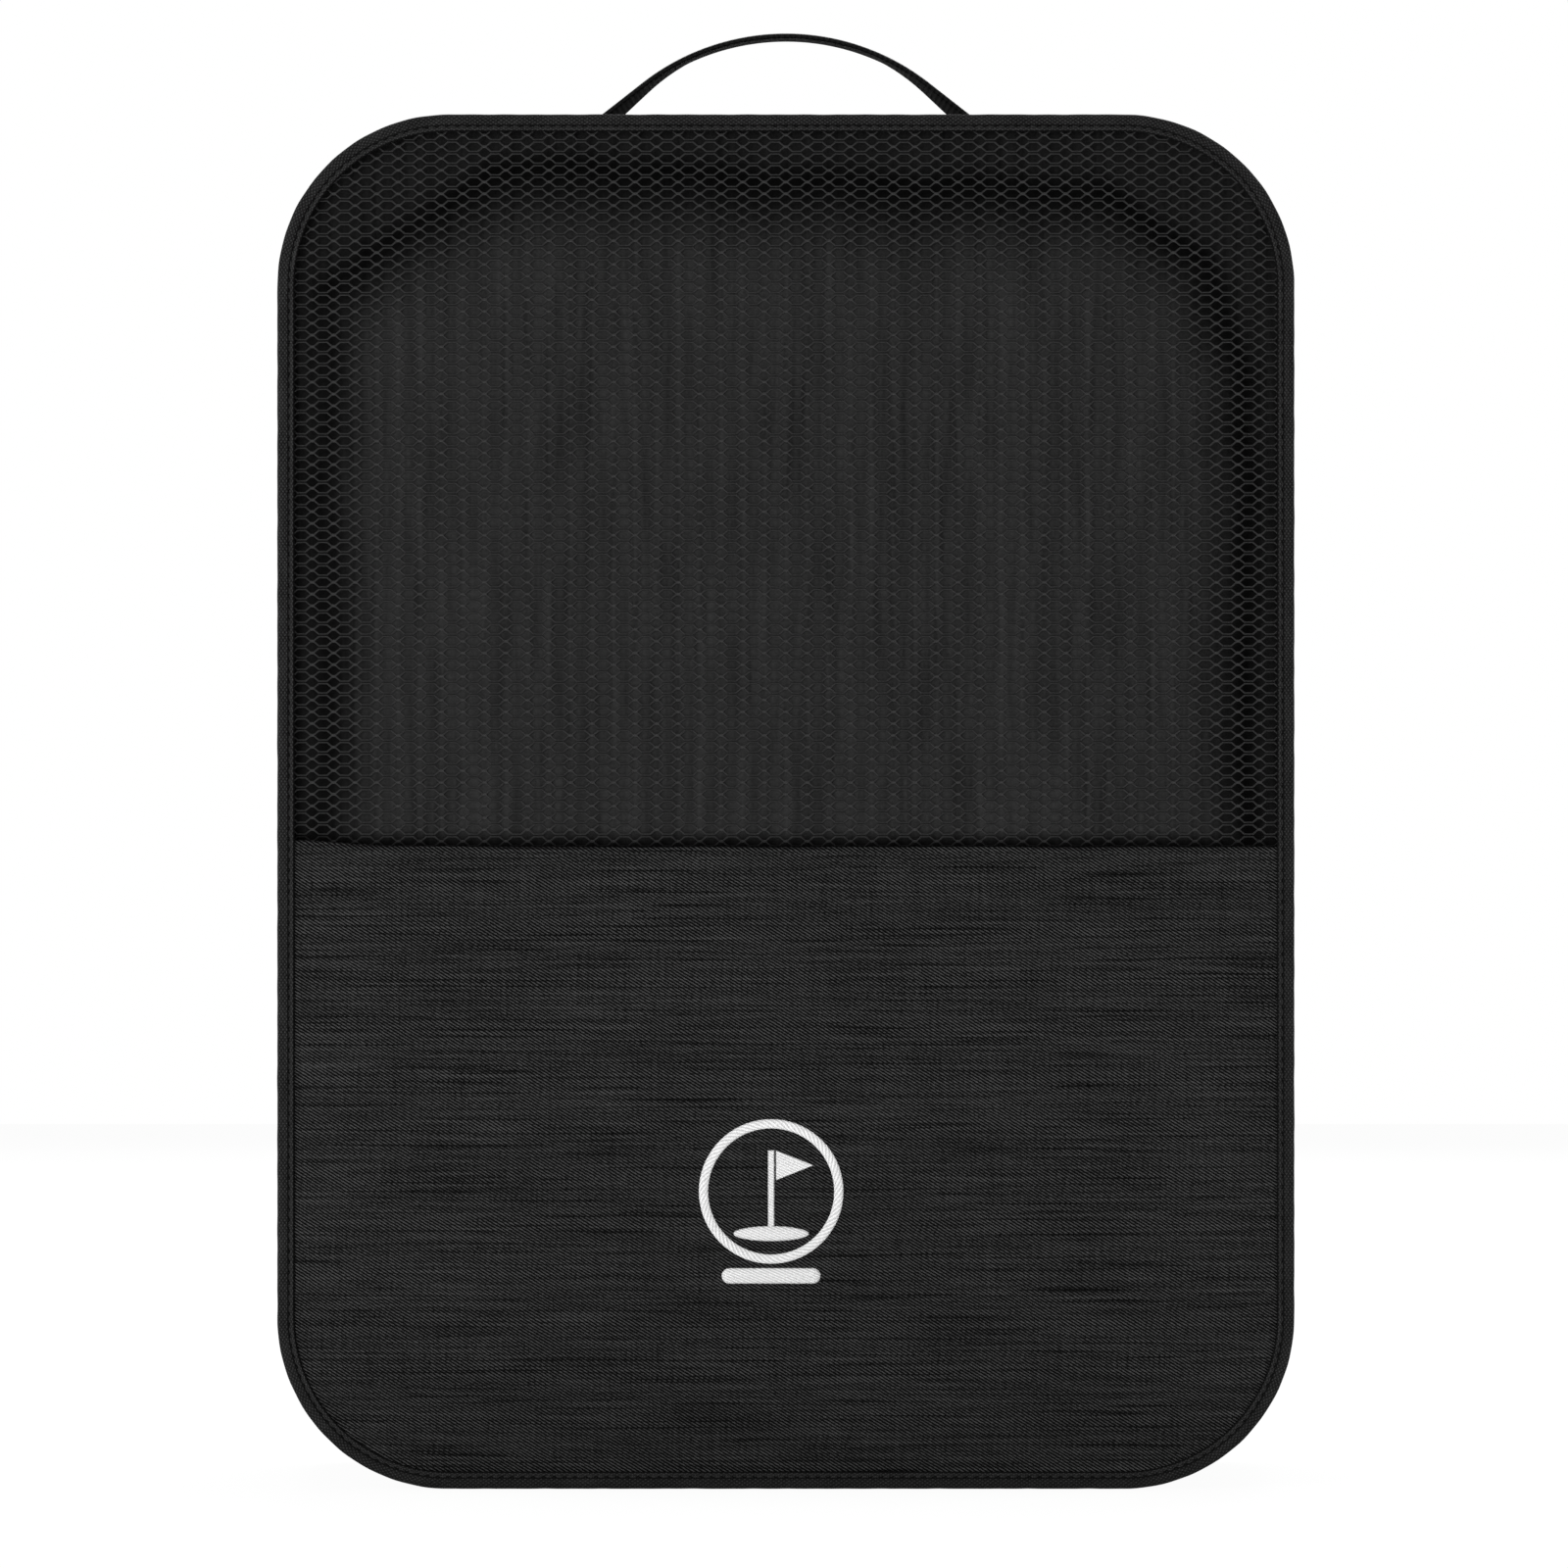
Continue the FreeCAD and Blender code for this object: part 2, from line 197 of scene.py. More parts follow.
def heatherTwill(name, dark, light):
    finish, along, across = clothFinish(name, 0.92, 0.08)
    drift = finish.noise(along * 0.3, across * 0.3, 3.0) * 0.4
    dashes = (along / twill["along"] + across / twill["across"] + drift).wave(1.0)
    yarns = finish.noise(along * 1.1, across * 2.4, 1.0, 3.0, 0.75)
    wefts = finish.noise(along * 0.036, across * 1.9, 5.0, 3.0, 0.68)
    slubs = finish.noise(along * 0.022, across * 1.5, 8.0, 2.0, 0.55)
    warps = finish.noise(along * 2.3, across * 0.05, 12.0, 1.0, 0.5)
    clouds = finish.noise(along * 0.02, across * 0.09, 15.0, 1.0)
    tone = dashes * twill["dash"] + (yarns - 0.5) * twill["yarn"] + (wefts - 0.5) * twill["weft"]
    tone = tone + (warps - 0.5) * twill["warp"] + (clouds - 0.5) * twill["cloud"] - twill["darker"]
    tone = tone - slubs.between(0.56, 0.68) * twill["slub"]
    finish.tint(tone.between(0.0, 1.0), dark, light)
    finish.bump(dashes * 0.7 + yarns * 0.5 - slubs * 0.2, 0.2 * mm, 0.8)
    return finish.material


paintedShadeBands = {"edge": (0.5, 1.5), "seam": (2.75, 3.1), "seamEnd": (3.35, 3.7), "rib": (3.5, 3.8),
         "lip": (4.3, 4.6)}  # painted shade and highlight on the edge binding: where each begins and is full, in millimetres from the tape's outer edge


def knitTape(name="binding_knit", dark=12, light=67, shadeBanded=False):
    finish, along, across = clothFinish(name, 0.88, 0.12)
    diamonds = (along / 1.14 + across / 0.8).wave(1.0) * (along / 1.14 - across / 0.8).wave(1.0)
    fibres = finish.noise(along * 1.8, across * 3.2, 2.0, 3.0, 0.65)
    wear = finish.noise(along * 0.12, across * 0.5, 4.0)
    tone = diamonds * 0.5 + fibres * 0.7 + wear * 0.3 - 0.32
    if shadeBanded:
        # painted light: shade on the rounded outer edge, in the sewn groove and on the lip that tucks under
        # onto the panel, and a highlight from the inner rib on
        edge = 1 - across.between(*paintedShadeBands["edge"])
        seam = across.between(*paintedShadeBands["seam"]) * (1 - across.between(*paintedShadeBands["seamEnd"]))
        lip = across.between(*paintedShadeBands["lip"])
        tone = tone - edge * 0.14 - seam * 0.3 + across.between(*paintedShadeBands["rib"]) * 0.1 - lip * 0.7
    finish.tint(tone.between(0.0, 1.0), dark, light)
    finish.bump(diamonds + fibres * 0.5, 0.2 * mm, 1.0)
    return finish.material


def meshYarn():
    finish, along, across = clothFinish("mesh_yarn", 0.75, 0.2)
    shade, _ = finish.place("painted_shade")
    fibres = finish.noise(along * 3.0, across * 3.0, 1.0, 2.0)
    # painted shadow: the yarn colour falls to grey 15 just above the hem, where the mesh runs into shade
    # behind the lower panel
    finish.colour(finish.mix(shade, finish.mix(fibres, grey(37), grey(57)), grey(15)))
    finish.bump(fibres, 0.08 * mm, 0.6)
    return finish.material


def brushedBacking():
    finish, along, across = clothFinish("backing_brushed_knit", 0.95, 0.05)
    hollow, foldLight = finish.place("painted_shade")
    nap = finish.noise(along * 1.6, across * 1.6, 1.0, 3.0, 0.6)
    knit = (along / 1.1).wave(1.0) * (across / 0.9).wave(1.0)
    streaks = finish.noise(along * 0.36, across * 0.024, 6.0, 3.0, 0.6)
    fine = finish.noise(along * 0.95, across * 0.05, 9.0, 2.0, 0.5)
    # painted light and shade on the folds: the tone rises on crests that stand forward and falls in the
    # troughs
    tone = (streaks - 0.5) * 0.6 + (fine - 0.5) * 0.5 + (nap - 0.5) * 0.45 + foldLight * 0.08 + 0.46
    padded = finish.mix(tone.between(0.0, 1.0), grey(24), grey(53))
    # painted shade: the backing's colour falls towards grey 9 in the hollows by the folds, outside them,
    # along the sides and just above the hem
    finish.colour(finish.mix(hollow, padded, grey(9)))
    finish.bump(nap + knit * 0.4, 0.15 * mm, 0.6)
    return finish.material


def plainWeave(name, dark, light, pitch=0.55, strength=0.6):
    finish, along, across = clothFinish(name, 0.8, 0.15)
    threads = (along / pitch).wave(1.0) * (across / pitch).wave(1.0)
    fibres = finish.noise(along * 0.9, across * 0.9, 2.0, 3.0, 0.6)
    creases = finish.noise(along * 0.05, across * 0.08, 7.0, 2.0)
    tone = threads * 0.35 + fibres * 0.45 + creases * 0.35 - 0.1
    finish.tint(tone.between(0.0, 1.0), dark, light)
    finish.bump(threads + creases * 0.8, 0.12 * mm, strength)
    return finish.material


def herringbone(name, dark, light):
    finish, along, across = clothFinish(name, 0.85, 0.12)
    zigzag = (across / 2.4).apply("PINGPONG", 0.5) * 2.0
    ribs = (along / 0.8 + zigzag).wave(1.0)
    fibres = finish.noise(along * 1.5, across * 1.5, 3.0, 3.0, 0.6)
    finish.tint((ribs * 0.6 + fibres * 0.5 - 0.1).between(0.0, 1.0), dark, light)
    finish.bump(ribs, 0.14 * mm, 0.8)
    return finish.material


def ribbedWebbing(name="strap_webbing", dark=2, light=21):
    finish, along, across = clothFinish(name, 0.7, 0.18)
    ribs = (along / 1.25).wave(1.0)
    ends = (across / 0.75).wave(1.0)
    fibres = finish.noise(along * 1.2, across * 2.4, 3.0, 3.0, 0.6)
    tone = ribs * 0.4 + ends * 0.25 + fibres * 0.5 - 0.15
    finish.tint(tone.between(0.0, 1.0), dark, light)
    finish.rough(0.6 + fibres * 0.2)
    finish.bump(ribs * 0.7 + ends * 0.4, 0.2 * mm, 0.9)
    return finish.material


def sewingThread(name, dark, light):
    finish, along, across = clothFinish(name, 0.55, 0.3)
    twist = (along / 0.45 + across / 0.5).wave(1.0)
    finish.tint(twist, dark, light)
    finish.bump(twist, 0.05 * mm, 0.7)
    return finish.material


def satinStitch():
    finish, along, across = clothFinish("embroidery_satin", 0.5, 0.3)
    threads = (along * 0.45 + across).wave(0.62)
    fibres = finish.noise(along * 2.5, across * 1.2, 2.0, 3.0, 0.6)
    tone = threads * 0.55 + fibres * 0.7 - 0.1
    finish.tint(tone.between(0.0, 1.0), 182, 246)
    finish.bump(threads + fibres * 0.3, 0.1 * mm, 0.8)
    return finish.material


def nylonCoil():
    finish, along, across = clothFinish("zip_nylon", 0.4, 0.4)
    scuffs = finish.noise(along * 0.8, across * 0.8, 2.0, 3.0)
    finish.tint(scuffs, 10, 34)
    finish.rough(0.3 + scuffs * 0.3)
    return finish.material


def blackEnamel():
    finish, along, across = clothFinish("slider_enamel", 0.35, 0.5)
    scuffs = finish.noise(along * 1.4, across * 1.4, 2.0, 4.0, 0.65)
    worn = scuffs.between(0.58, 0.72)
    finish.tint(worn, 16, 64)
    finish.feed(finish.shader.inputs["Metallic"], 0.35 + worn * 0.4)
    finish.rough(0.28 + scuffs * 0.3)
    finish.bump(scuffs, 0.03 * mm, 0.5)
    return finish.material


def napTape(name, dark, light, scale, depth):
    finish, along, across = clothFinish(name, 0.9, 0.15)
    spot = finish.node("ShaderNodeCombineXYZ", {}, {0: along, 1: across})
    cells = finish.node("ShaderNodeTexVoronoi", {"feature": "F1"}, {"Vector": spot, "Scale": scale})
    fuzz = finish.noise(along * 2.0, across * 2.0, 4.0, 3.0, 0.7)
    tone = (1 - cells) * 0.6 + fuzz * 0.5 - 0.1
    finish.tint(tone.between(0.0, 1.0), dark, light)
    finish.bump(1 - cells + fuzz * 0.4, depth * mm, 0.9)
    return finish.material


finishes = {
    "panel": heatherTwill("panel_heather_twill", 8, 74),
    "gusset": heatherTwill("gusset_heather_twill", 8, 74),
    "binding": knitTape(),
    "edgeBinding": knitTape("edge_binding_knit", shadeBanded=True),
    "mesh": meshYarn(),
    "backing": brushedBacking(),
    "lining": plainWeave("lining_plain_weave", 44, 78),
    "zipTape": herringbone("zip_tape_herringbone", 8, 34),
    "coil": nylonCoil(),
    "enamel": blackEnamel(),
    "webbing": ribbedWebbing(),
    "darkThread": sewingThread("thread_black", 6, 26),
    "greyThread": sewingThread("thread_charcoal", 26, 58),
    "satin": satinStitch(),
    "divider": plainWeave("divider_brushed_cloth", 30, 62, 0.8),
    "hooks": napTape("hook_tape", 8, 30, 1.3, 0.4),
    "loops": napTape("loop_tape", 12, 44, 0.8, 0.5),
}
print("finishes ready:", len(finishes))


# Meshes
def piece(name, points, faces, layout, finish, body=None, nodes=(), slot=None, smooth=40.0, painted_shade=None):
    mesh = bpy.data.meshes.new(name)
    mesh.from_pydata(np.asarray(points, float).tolist(), [], faces)
    for layer, spots in (("cloth", layout), ("painted_shade", painted_shade)):
        if spots is not None:
            uv = mesh.uv_layers.new(name=layer)
            uv.data.foreach_set("uv", np.asarray(spots, np.float32).ravel())
    mesh.update()
    made = bpy.data.objects.new(name, mesh)
    bpy.context.scene.collection.objects.link(made)
    work = bmesh.new()
    work.from_mesh(mesh)
    bmesh.ops.recalc_face_normals(work, faces=work.faces)
    work.to_mesh(mesh)
    work.free()
    mesh.shade_smooth()
    mesh.set_sharp_from_angle(angle=math.radians(smooth))
    mesh.materials.append(finishes[finish])
    if nodes:
        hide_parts(*nodes)
    if body:
        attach(made, body)
    return made


def gridFaces(rows, columns, closeRows=False, closeColumns=False, first=0):
    faces, cells = [], []
    for i in range(rows if closeRows else rows - 1):
        for j in range(columns if closeColumns else columns - 1):
            i1, j1 = (i + 1) % rows, (j + 1) % columns
            faces.append([first + a * columns + b for a, b in ((i, j), (i1, j), (i1, j1), (i, j1))])
            cells.append((i, j))
    return faces, cells


def gridLayout(cells, along, across):  # cloth lengths at the corners of a grid's faces
    return [(along[i + di], across[j + dj]) for i, j in cells for di, dj in ((0, 0), (1, 0), (1, 1), (0, 1))]


def flatLayout(points, faces, first, second):  # cloth lengths read straight from two of the axes
    return [(points[k][first], points[k][second]) for face in faces for k in face]


def runLengths(points):  # distance walked along a row of points
    return np.concatenate([[0.0], np.cumsum(np.linalg.norm(np.diff(points, axis=0), axis=1))])


def spotAt(place, run, values):  # a point or direction part of the way along a run
    return np.array([np.interp(place, run, values[:, k]) for k in range(3)])


def closedSheet(front, back):  # two grids of points, joined round their rims
    rows, columns = front.shape[:2]
    count = rows * columns
    facing, _ = gridFaces(rows, columns)
    ring = list(range(columns)) + [k * columns + columns - 1 for k in range(1, rows)]
    ring += [(rows - 1) * columns + k for k in range(columns - 2, -1, -1)]
    ring += [k * columns for k in range(rows - 2, 0, -1)]
    faces = facing + [[count + k for k in reversed(face)] for face in facing]
    faces += [[a, b, b + count, a + count] for a, b in zip(ring, ring[1:] + ring[:1])]
    return np.concatenate([front.reshape(-1, 3), back.reshape(-1, 3)]), faces


def walkOutline(half, low, high, corner, step, start=None, trough=False):
    # Points, outward normals and lengths round a rounded rectangle, whole or from an angle
    runs = []
    flat = half - corner
    quarter = math.pi / 2
    angle = math.radians(start or 0.0)
    arcs = [(flat, low + corner, -quarter), (flat, high - corner, 0.0),
            (-flat, high - corner, quarter), (-flat, low + corner, 2 * quarter)]
    lines = [((-flat, low), (flat, low)), ((half, low + corner), (half, high - corner)),
             ((flat, high), (-flat, high)), ((-half, high - corner), (-half, low + corner))]
    order = [(kind, number) for number in range(4) for kind in ("line", "arc")]
    if trough:
        order = [("arc", 3), ("line", 0), ("arc", 0)]
    elif start is not None:
        order = order[1:]
    for kind, number in order:
        if kind == "line":
            (x0, z0), (x1, z1) = lines[number]
            count = max(1, math.ceil(math.hypot(x1 - x0, z1 - z0) / step))
            out = [(0, -1), (1, 0), (0, 1), (-1, 0)][number]
            runs += [(x0 + (x1 - x0) * k / count, z0 + (z1 - z0) * k / count, *out) for k in range(count)]
        else:
            x, z, turn = arcs[number]
            first, last = turn, turn + quarter
            if start is not None and number == 0:
                first, last = (turn, turn + angle) if trough else (turn + angle, last)
            if start is not None and number == 3:
                first, last = (last - angle, last) if trough else (first, last - angle)
            count = max(3, math.ceil(corner * (last - first) / step))
            angles = [first + (last - first) * k / count for k in range(count)]
            runs += [(x + corner * math.cos(a), z + corner * math.sin(a), math.cos(a), math.sin(a))
                     for a in angles]
            final = (x + corner * math.cos(last), z + corner * math.sin(last), math.cos(last), math.sin(last))
    if start is not None:
        runs.append(final)
    runs = np.array(runs)
    along = runLengths(runs[:, :2])
    closed = start is None
    length = along[-1] + (np.linalg.norm(runs[0, :2] - runs[-1, :2]) if closed else 0.0)
    return {"base": runs[:, :2], "out": runs[:, 2:], "along": along, "closed": closed, "length": length}


def bagWalk(step, start=None, trough=False):
    return walkOutline(bag["half"], 0.0, bag["height"], bag["corner"], step, start, trough)


def alongDepth(a, depth, b):
    return np.stack([a, depth, b], axis=-1)


def acrossWidth(a, depth, b):
    return np.stack([depth, a, b], axis=-1)


def capEnds(faces, layout, rows, section):  # flat ends on a grid that was carried along a run
    columns = len(section)
    for row in (0, rows - 1):
        faces.append([row * columns + k for k in range(columns)])
        layout.extend(tuple(spot) for spot in section)


def loft(name, walk, profile, finish, body=None, nodes=(), slot=None, ripple=None, place=alongDepth,
         folded=False):
    # A closed section, given as insets and depths, carried round a walk
    profile = np.array(profile, float)
    rows, columns = len(walk["along"]), len(profile)
    inset = np.repeat(profile[None, :, 0], rows, 0)
    depth = np.repeat(profile[None, :, 1], rows, 0)
    if ripple:
        moveIn, moveDepth = ripple(walk["along"][:, None], inset, depth)
        inset, depth = inset + moveIn, depth + moveDepth
    a = walk["base"][:, 0, None] - walk["out"][:, 0, None] * inset
    b = walk["base"][:, 1, None] - walk["out"][:, 1, None] * inset
    points = place(a, depth, b).reshape(-1, 3)
    faces, cells = gridFaces(rows, columns, walk["closed"], True)
    across = runLengths(np.vstack([profile, profile[:1]]))
    if folded:  # measure both faces of a folded tape from its outer edge
        across = np.minimum(across, across[columns - 1] - across)
    along = np.append(walk["along"], walk["length"])
    layout = gridLayout(cells, along, across)
    if not walk["closed"]:
        capEnds(faces, layout, rows, profile)
    return piece(name, points, faces, layout, finish, body, nodes, slot)


def ripples(strength, length, seed):  # smooth random waves along a length, the same on each run
    phases = np.random.default_rng(seed).uniform(0, 2 * math.pi, 6)

    def at(along, across=0.0):
        total = 0.0
        for k, phase in enumerate(phases):
            pace = 2 * math.pi / (length * (0.6 + 0.37 * k))
            total = total + np.sin(along * pace + phase + across * (k - 2.5) * 40.0) / (1 + 0.5 * k)
        return strength * total / 2.2

    return at


# Both take a rounded rectangle, which is the bag's outline unless another is given
def halfAt(z, inset, half=bag["half"], low=0.0, high=bag["height"], corner=bag["corner"]):  # half its width
    radius = corner - inset
    beyond = np.clip(np.maximum(low + corner - z, z - high + corner), 0.0, radius)
    return half - corner + np.sqrt(np.maximum(radius ** 2 - beyond ** 2, 0.0))


def insetAt(x, z, half=bag["half"], low=0.0, high=bag["height"], corner=bag["corner"]):  # distance inside it
    middle, tall = (low + high) / 2, (high - low) / 2
    overX, overZ = np.abs(x) - (half - corner), np.abs(z - middle) - (tall - corner)
    outside = np.hypot(np.maximum(overX, 0), np.maximum(overZ, 0))
    return corner - outside - np.minimum(np.maximum(overX, overZ), 0)


def smoothStep(value, low, high):
    t = np.clip((value - low) / (high - low), 0, 1)
    return t * t * (3 - 2 * t)


def ridge(distance, middle, width, height):  # a bell curve
    return np.exp(-((distance - middle) / width) ** 2) * height


def archShare(value, low, high):  # 0 at both ends, 1 in the middle
    return np.sin(np.clip((value - low) / (high - low), 0, 1) * math.pi)


def panelRows(low, high, step):  # heights of a panel's rows, closer together round the corners
    radius = bag["corner"] - panelInset
    arc = np.linspace(0, math.pi / 2, 16)
    bottom = bag["corner"] - radius * np.cos(arc)
    top = bag["height"] - bag["corner"] + radius * np.sin(arc)
    first, last = max(low, bag["corner"]), min(high, bag["height"] - bag["corner"])
    middle = np.linspace(first, last, max(2, math.ceil((last - first) / step)))
    rows = np.concatenate([bottom, middle, top])
    rows = rows[(rows > low + 1e-6) & (rows < high - 1e-6)]
    rows = np.concatenate([[low], rows, [high]])
    return rows[np.concatenate([[True], np.diff(rows) > 0.0002])]


def panelSlab(name, step, faceY, backY, finish, low=panelInset, high=panelTop, edge=None, **rest):
    # A panel inside the bag's outline, as a closed slab. faceY and backY give depths over x and z
    rows = panelRows(low, high, step)
    columns = math.ceil(2 * (bag["half"] - panelInset) / step) + 1
    spread = np.linspace(-1, 1, columns)
    x = halfAt(rows, panelInset)[:, None] * spread[None, :]
    z = np.repeat(rows[:, None], columns, 1)
    if edge:
        z = z + edge(x) * smoothStep(z, high - 0.03, high)
    points, faces = closedSheet(*(np.stack([x, sheetY(x, z), z], -1) for sheetY in (faceY, backY)))
    return piece(name, points, faces, flatLayout(points, faces, 0, 2), finish, **rest)


def level(y):
    return lambda x, z: np.full(np.shape(x), float(y))


cloth = {"frames": 20, "quality": 5, "tension": 18.0, "bending": 0.8, "mass": 0.25, "slack": -0.003,
         "smoothing": 8}


def puff(made, free, pressure, cap):
    # Blow up the free part of a padded piece as cloth, held everywhere else, by no more than cap
    before = np.empty(len(made.data.vertices) * 3)
    made.data.vertices.foreach_get("co", before)
    before = before.reshape(-1, 3)
    held = made.vertex_groups.new(name="held")
    loose = free(before)
    held.add([int(k) for k in np.nonzero(~loose)[0]], 1.0, "REPLACE")
    fabric = made.modifiers.new("Cloth", "CLOTH")
    settings = fabric.settings
    settings.quality, settings.mass = cloth["quality"], cloth["mass"]
    settings.tension_stiffness = settings.compression_stiffness = cloth["tension"]
    settings.bending_stiffness = cloth["bending"]
    settings.vertex_group_mass = "held"
    settings.use_pressure, settings.uniform_pressure_force = True, pressure
    settings.shrink_min = cloth["slack"]
    settings.effector_weights.gravity = 0
    fabric.collision_settings.use_collision = False
    scene = bpy.context.scene
    for number in range(1, cloth["frames"] + 1):
        scene.frame_set(number)
    graph = bpy.context.evaluated_depsgraph_get()
    shaped = made.evaluated_get(graph).to_mesh()
    after = np.empty(len(shaped.vertices) * 3)
    shaped.vertices.foreach_get("co", after)
    made.evaluated_get(graph).to_mesh_clear()
    made.modifiers.remove(fabric)
    made.vertex_groups.remove(held)
    scene.frame_set(1)
    moved = after.reshape(-1, 3) - before
    edges = np.empty(len(made.data.edges) * 2, int)
    made.data.edges.foreach_get("vertices", edges)
    edges = edges.reshape(-1, 2)
    share = np.bincount(edges.ravel(), minlength=len(moved))[:, None]
    for _ in range(cloth["smoothing"]):  # take out folds as small as the mesh
        around = np.zeros_like(moved)
        np.add.at(around, edges[:, 0], moved[edges[:, 1]])
        np.add.at(around, edges[:, 1], moved[edges[:, 0]])
        moved[loose] += 0.5 * (around / share - moved)[loose]
    size = np.linalg.norm(moved, axis=1, keepdims=True)
    moved *= cap * np.tanh(size / cap) / np.maximum(size, 1e-9)
    made.data.vertices.foreach_set("co", (before + moved).ravel())
    made.data.update()
    print(f"puffed {made.name}: up to {size.max() / mm:.1f} mm before the cap")


def rounder(made):
    rounding = made.modifiers.new("Rounding", "SUBSURF")
    rounding.levels = rounding.render_levels = 1


def padOut(made, free, swell, body):  # blow up, round off and attach a padded piece to its body
    puff(made, free, swell["pressure"], swell["cap"])
    rounder(made)
    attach(made, body)


def surfaceOf(made):
    bpy.context.view_layer.update()
    return BVHTree.FromObject(made, bpy.context.evaluated_depsgraph_get())


stitch = {"sides": 6, "rings": ((-0.5, 0.35, -0.9), (-0.28, 1.0, 0.0), (0.28, 1.0, 0.0), (0.5, 0.35, -0.9))}

seams = {  # millimetres from stitch to stitch, along one, through the thread, and off the cloth
    "binding": {"thread": "darkThread", "pitch": 2.3, "length": 1.75, "thick": 0.42, "lift": 0.06},
    "hem": {"thread": "darkThread", "pitch": 2.6, "length": 2.0, "thick": 0.3, "lift": -0.02},
    "endTab": {"thread": "greyThread", "pitch": 1.5, "length": 1.2, "thick": 0.35, "lift": 0.28},
    "gusset": {"thread": "greyThread", "pitch": 2.8, "length": 2.1, "thick": 0.4, "lift": 0.08},
    "mouth": {"thread": "greyThread", "pitch": 2.8, "length": 2.1, "thick": 0.36, "lift": 0.1},
    "foot": {"thread": "greyThread", "pitch": 2.2, "length": 1.8, "thick": 0.42, "lift": 0.05},
}


def stitchRun(name, path, out, seam, body, slot, closed=False):
    # Short stitches laid along a path, each dipping into the cloth at its ends
    pitch, length, thick, lift = (seams[seam][key] * mm for key in ("pitch", "length", "thick", "lift"))
    path, out = np.asarray(path, float), np.asarray(out, float)
    if closed:
        path, out = np.vstack([path, path[:1]]), np.vstack([out, out[:1]])
    run = runLengths(path)
    count, sides, rings = int(run[-1] / pitch), stitch["sides"], stitch["rings"]
    points, faces, layout = [], [], []
    for place in (np.arange(count) + 0.5) * run[-1] / count:
        first = len(points)
        for share, swell, dip in rings:
            here = place + share * length
            ahead = spotAt(here + 0.1 * mm, run, path) - spotAt(here - 0.1 * mm, run, path)
            ahead /= max(np.linalg.norm(ahead), 1e-9)
            up = spotAt(place, run, out)
            up /= np.linalg.norm(up)
            side = np.cross(ahead, up)
            centre = spotAt(here, run, path) + up * (lift + dip * thick * 0.5)
            for k in range(sides):
                turn = 2 * math.pi * k / sides
                swing = side * math.cos(turn) + up * math.sin(turn) * 0.75
                points.append(centre + swing * thick * 0.5 * swell)
        for ring in range(len(rings) - 1):
            base = first + ring * sides
            for k in range(sides):
                k1 = (k + 1) % sides
                faces.append([base + k, base + k1, base + sides + k1, base + sides + k])
                spots = ((ring, k), (ring, k + 1), (ring + 1, k + 1), (ring + 1, k))
                layout += [(place + rings[r][0] * length, t * thick * 0.5) for r, t in spots]
        for ring in (0, len(rings) - 1):
            faces.append([first + ring * sides + k for k in range(sides)])
            layout += [(place, 0.0)] * sides
    piece(name, points, faces, layout, seams[seam]["thread"], body, slot=slot, smooth=70.0)


def walkPath(walk, inset, depth):
    base, out = walk["base"], walk["out"]
    spots = base - out * inset
    points = np.stack([spots[:, 0], np.full(len(base), depth), spots[:, 1]], -1)
    outward = np.stack([out[:, 0], np.zeros(len(base)), out[:, 1]], -1)
    return points, outward


# Camera, light and stage
view = {"distance": 2.851, "lens": 300.0, "sensor": 36.0, "far": 20.0, "x": -0.0004, "z": 0.15385}


def setCamera():
    lens = bpy.data.cameras.new("camera")
    lens.lens, lens.sensor_width, lens.clip_end = view["lens"], view["sensor"], view["far"]
    camera = bpy.data.objects.new("camera", lens)
    camera.location = (view["x"], bag["front"] - view["distance"], view["z"])
    camera.rotation_euler = (math.pi / 2, 0, 0)
    bpy.context.scene.collection.objects.link(camera)
    bpy.context.scene.camera = camera


stage = {"floor": 3.0, "white": 0.92, "shadow": 0.05, "sky": 0.29}


def setStage():
    finish = Finish("floor_white", 1.0, 0.0)
    finish.colour((stage["white"],) * 3 + (1,))
    glow = finish.tree.nodes.new("ShaderNodeEmission")
    both = finish.tree.nodes.new("ShaderNodeMixShader")
    direct, mirrored, through = finish.rays("Camera", "Glossy", "Transmission")
    seen = (direct + mirrored).apply("MAXIMUM", through).apply("MINIMUM", 1.0)
    finish.feed(both.inputs[0], seen * (1 - stage["shadow"]))
    finish.tree.links.new(finish.shader.outputs[0], both.inputs[1])
    finish.tree.links.new(glow.outputs[0], both.inputs[2])
    finish.tree.links.new(both.outputs[0], finish.output.inputs[0])
    finishes["floor"] = finish.material
    size = stage["floor"]
    spots = [(-size, -size), (size, -size), (size, size), (-size, size)]
    floor = piece("floor", [(x, y, 0) for x, y in spots], [[0, 1, 2, 3]], spots, "floor")
    world = bpy.data.worlds.new("studio")
    world.use_nodes = True
    bpy.context.scene.world = world
    sky = Graph(world.node_tree)
    direct, through = sky.rays("Camera", "Transmission")
    seen = direct.apply("MAXIMUM", through)
    strength = sky.node("ShaderNodeMapRange", {}, {"Value": seen, "To Min": stage["sky"], "To Max": 1.0})
    background = sky.tree.nodes["Background"]
    background.inputs["Color"].default_value = (1, 1, 1, 1)
    sky.feed(background.inputs["Strength"], strength)


lamps = {  # the last four stand behind the front face and light only the other sides
    "key": {"at": (-0.85, -1.35, 0.62), "size": 0.9, "power": 14.2},
    "fill": {"at": (-0.3, -1.9, 0.2), "size": 1.6, "power": 6.0},
    "back": {"at": (0.3, 1.9, 1.3), "size": 1.4, "power": 48.0},
    "left": {"at": (-1.8, 0.6, 0.9), "size": 1.2, "power": 26.0},
    "right": {"at": (1.8, 0.6, 0.9), "size": 1.2, "power": 26.0},
    "top": {"at": (0.0, 0.5, 2.0), "size": 1.2, "power": 22.0},
}


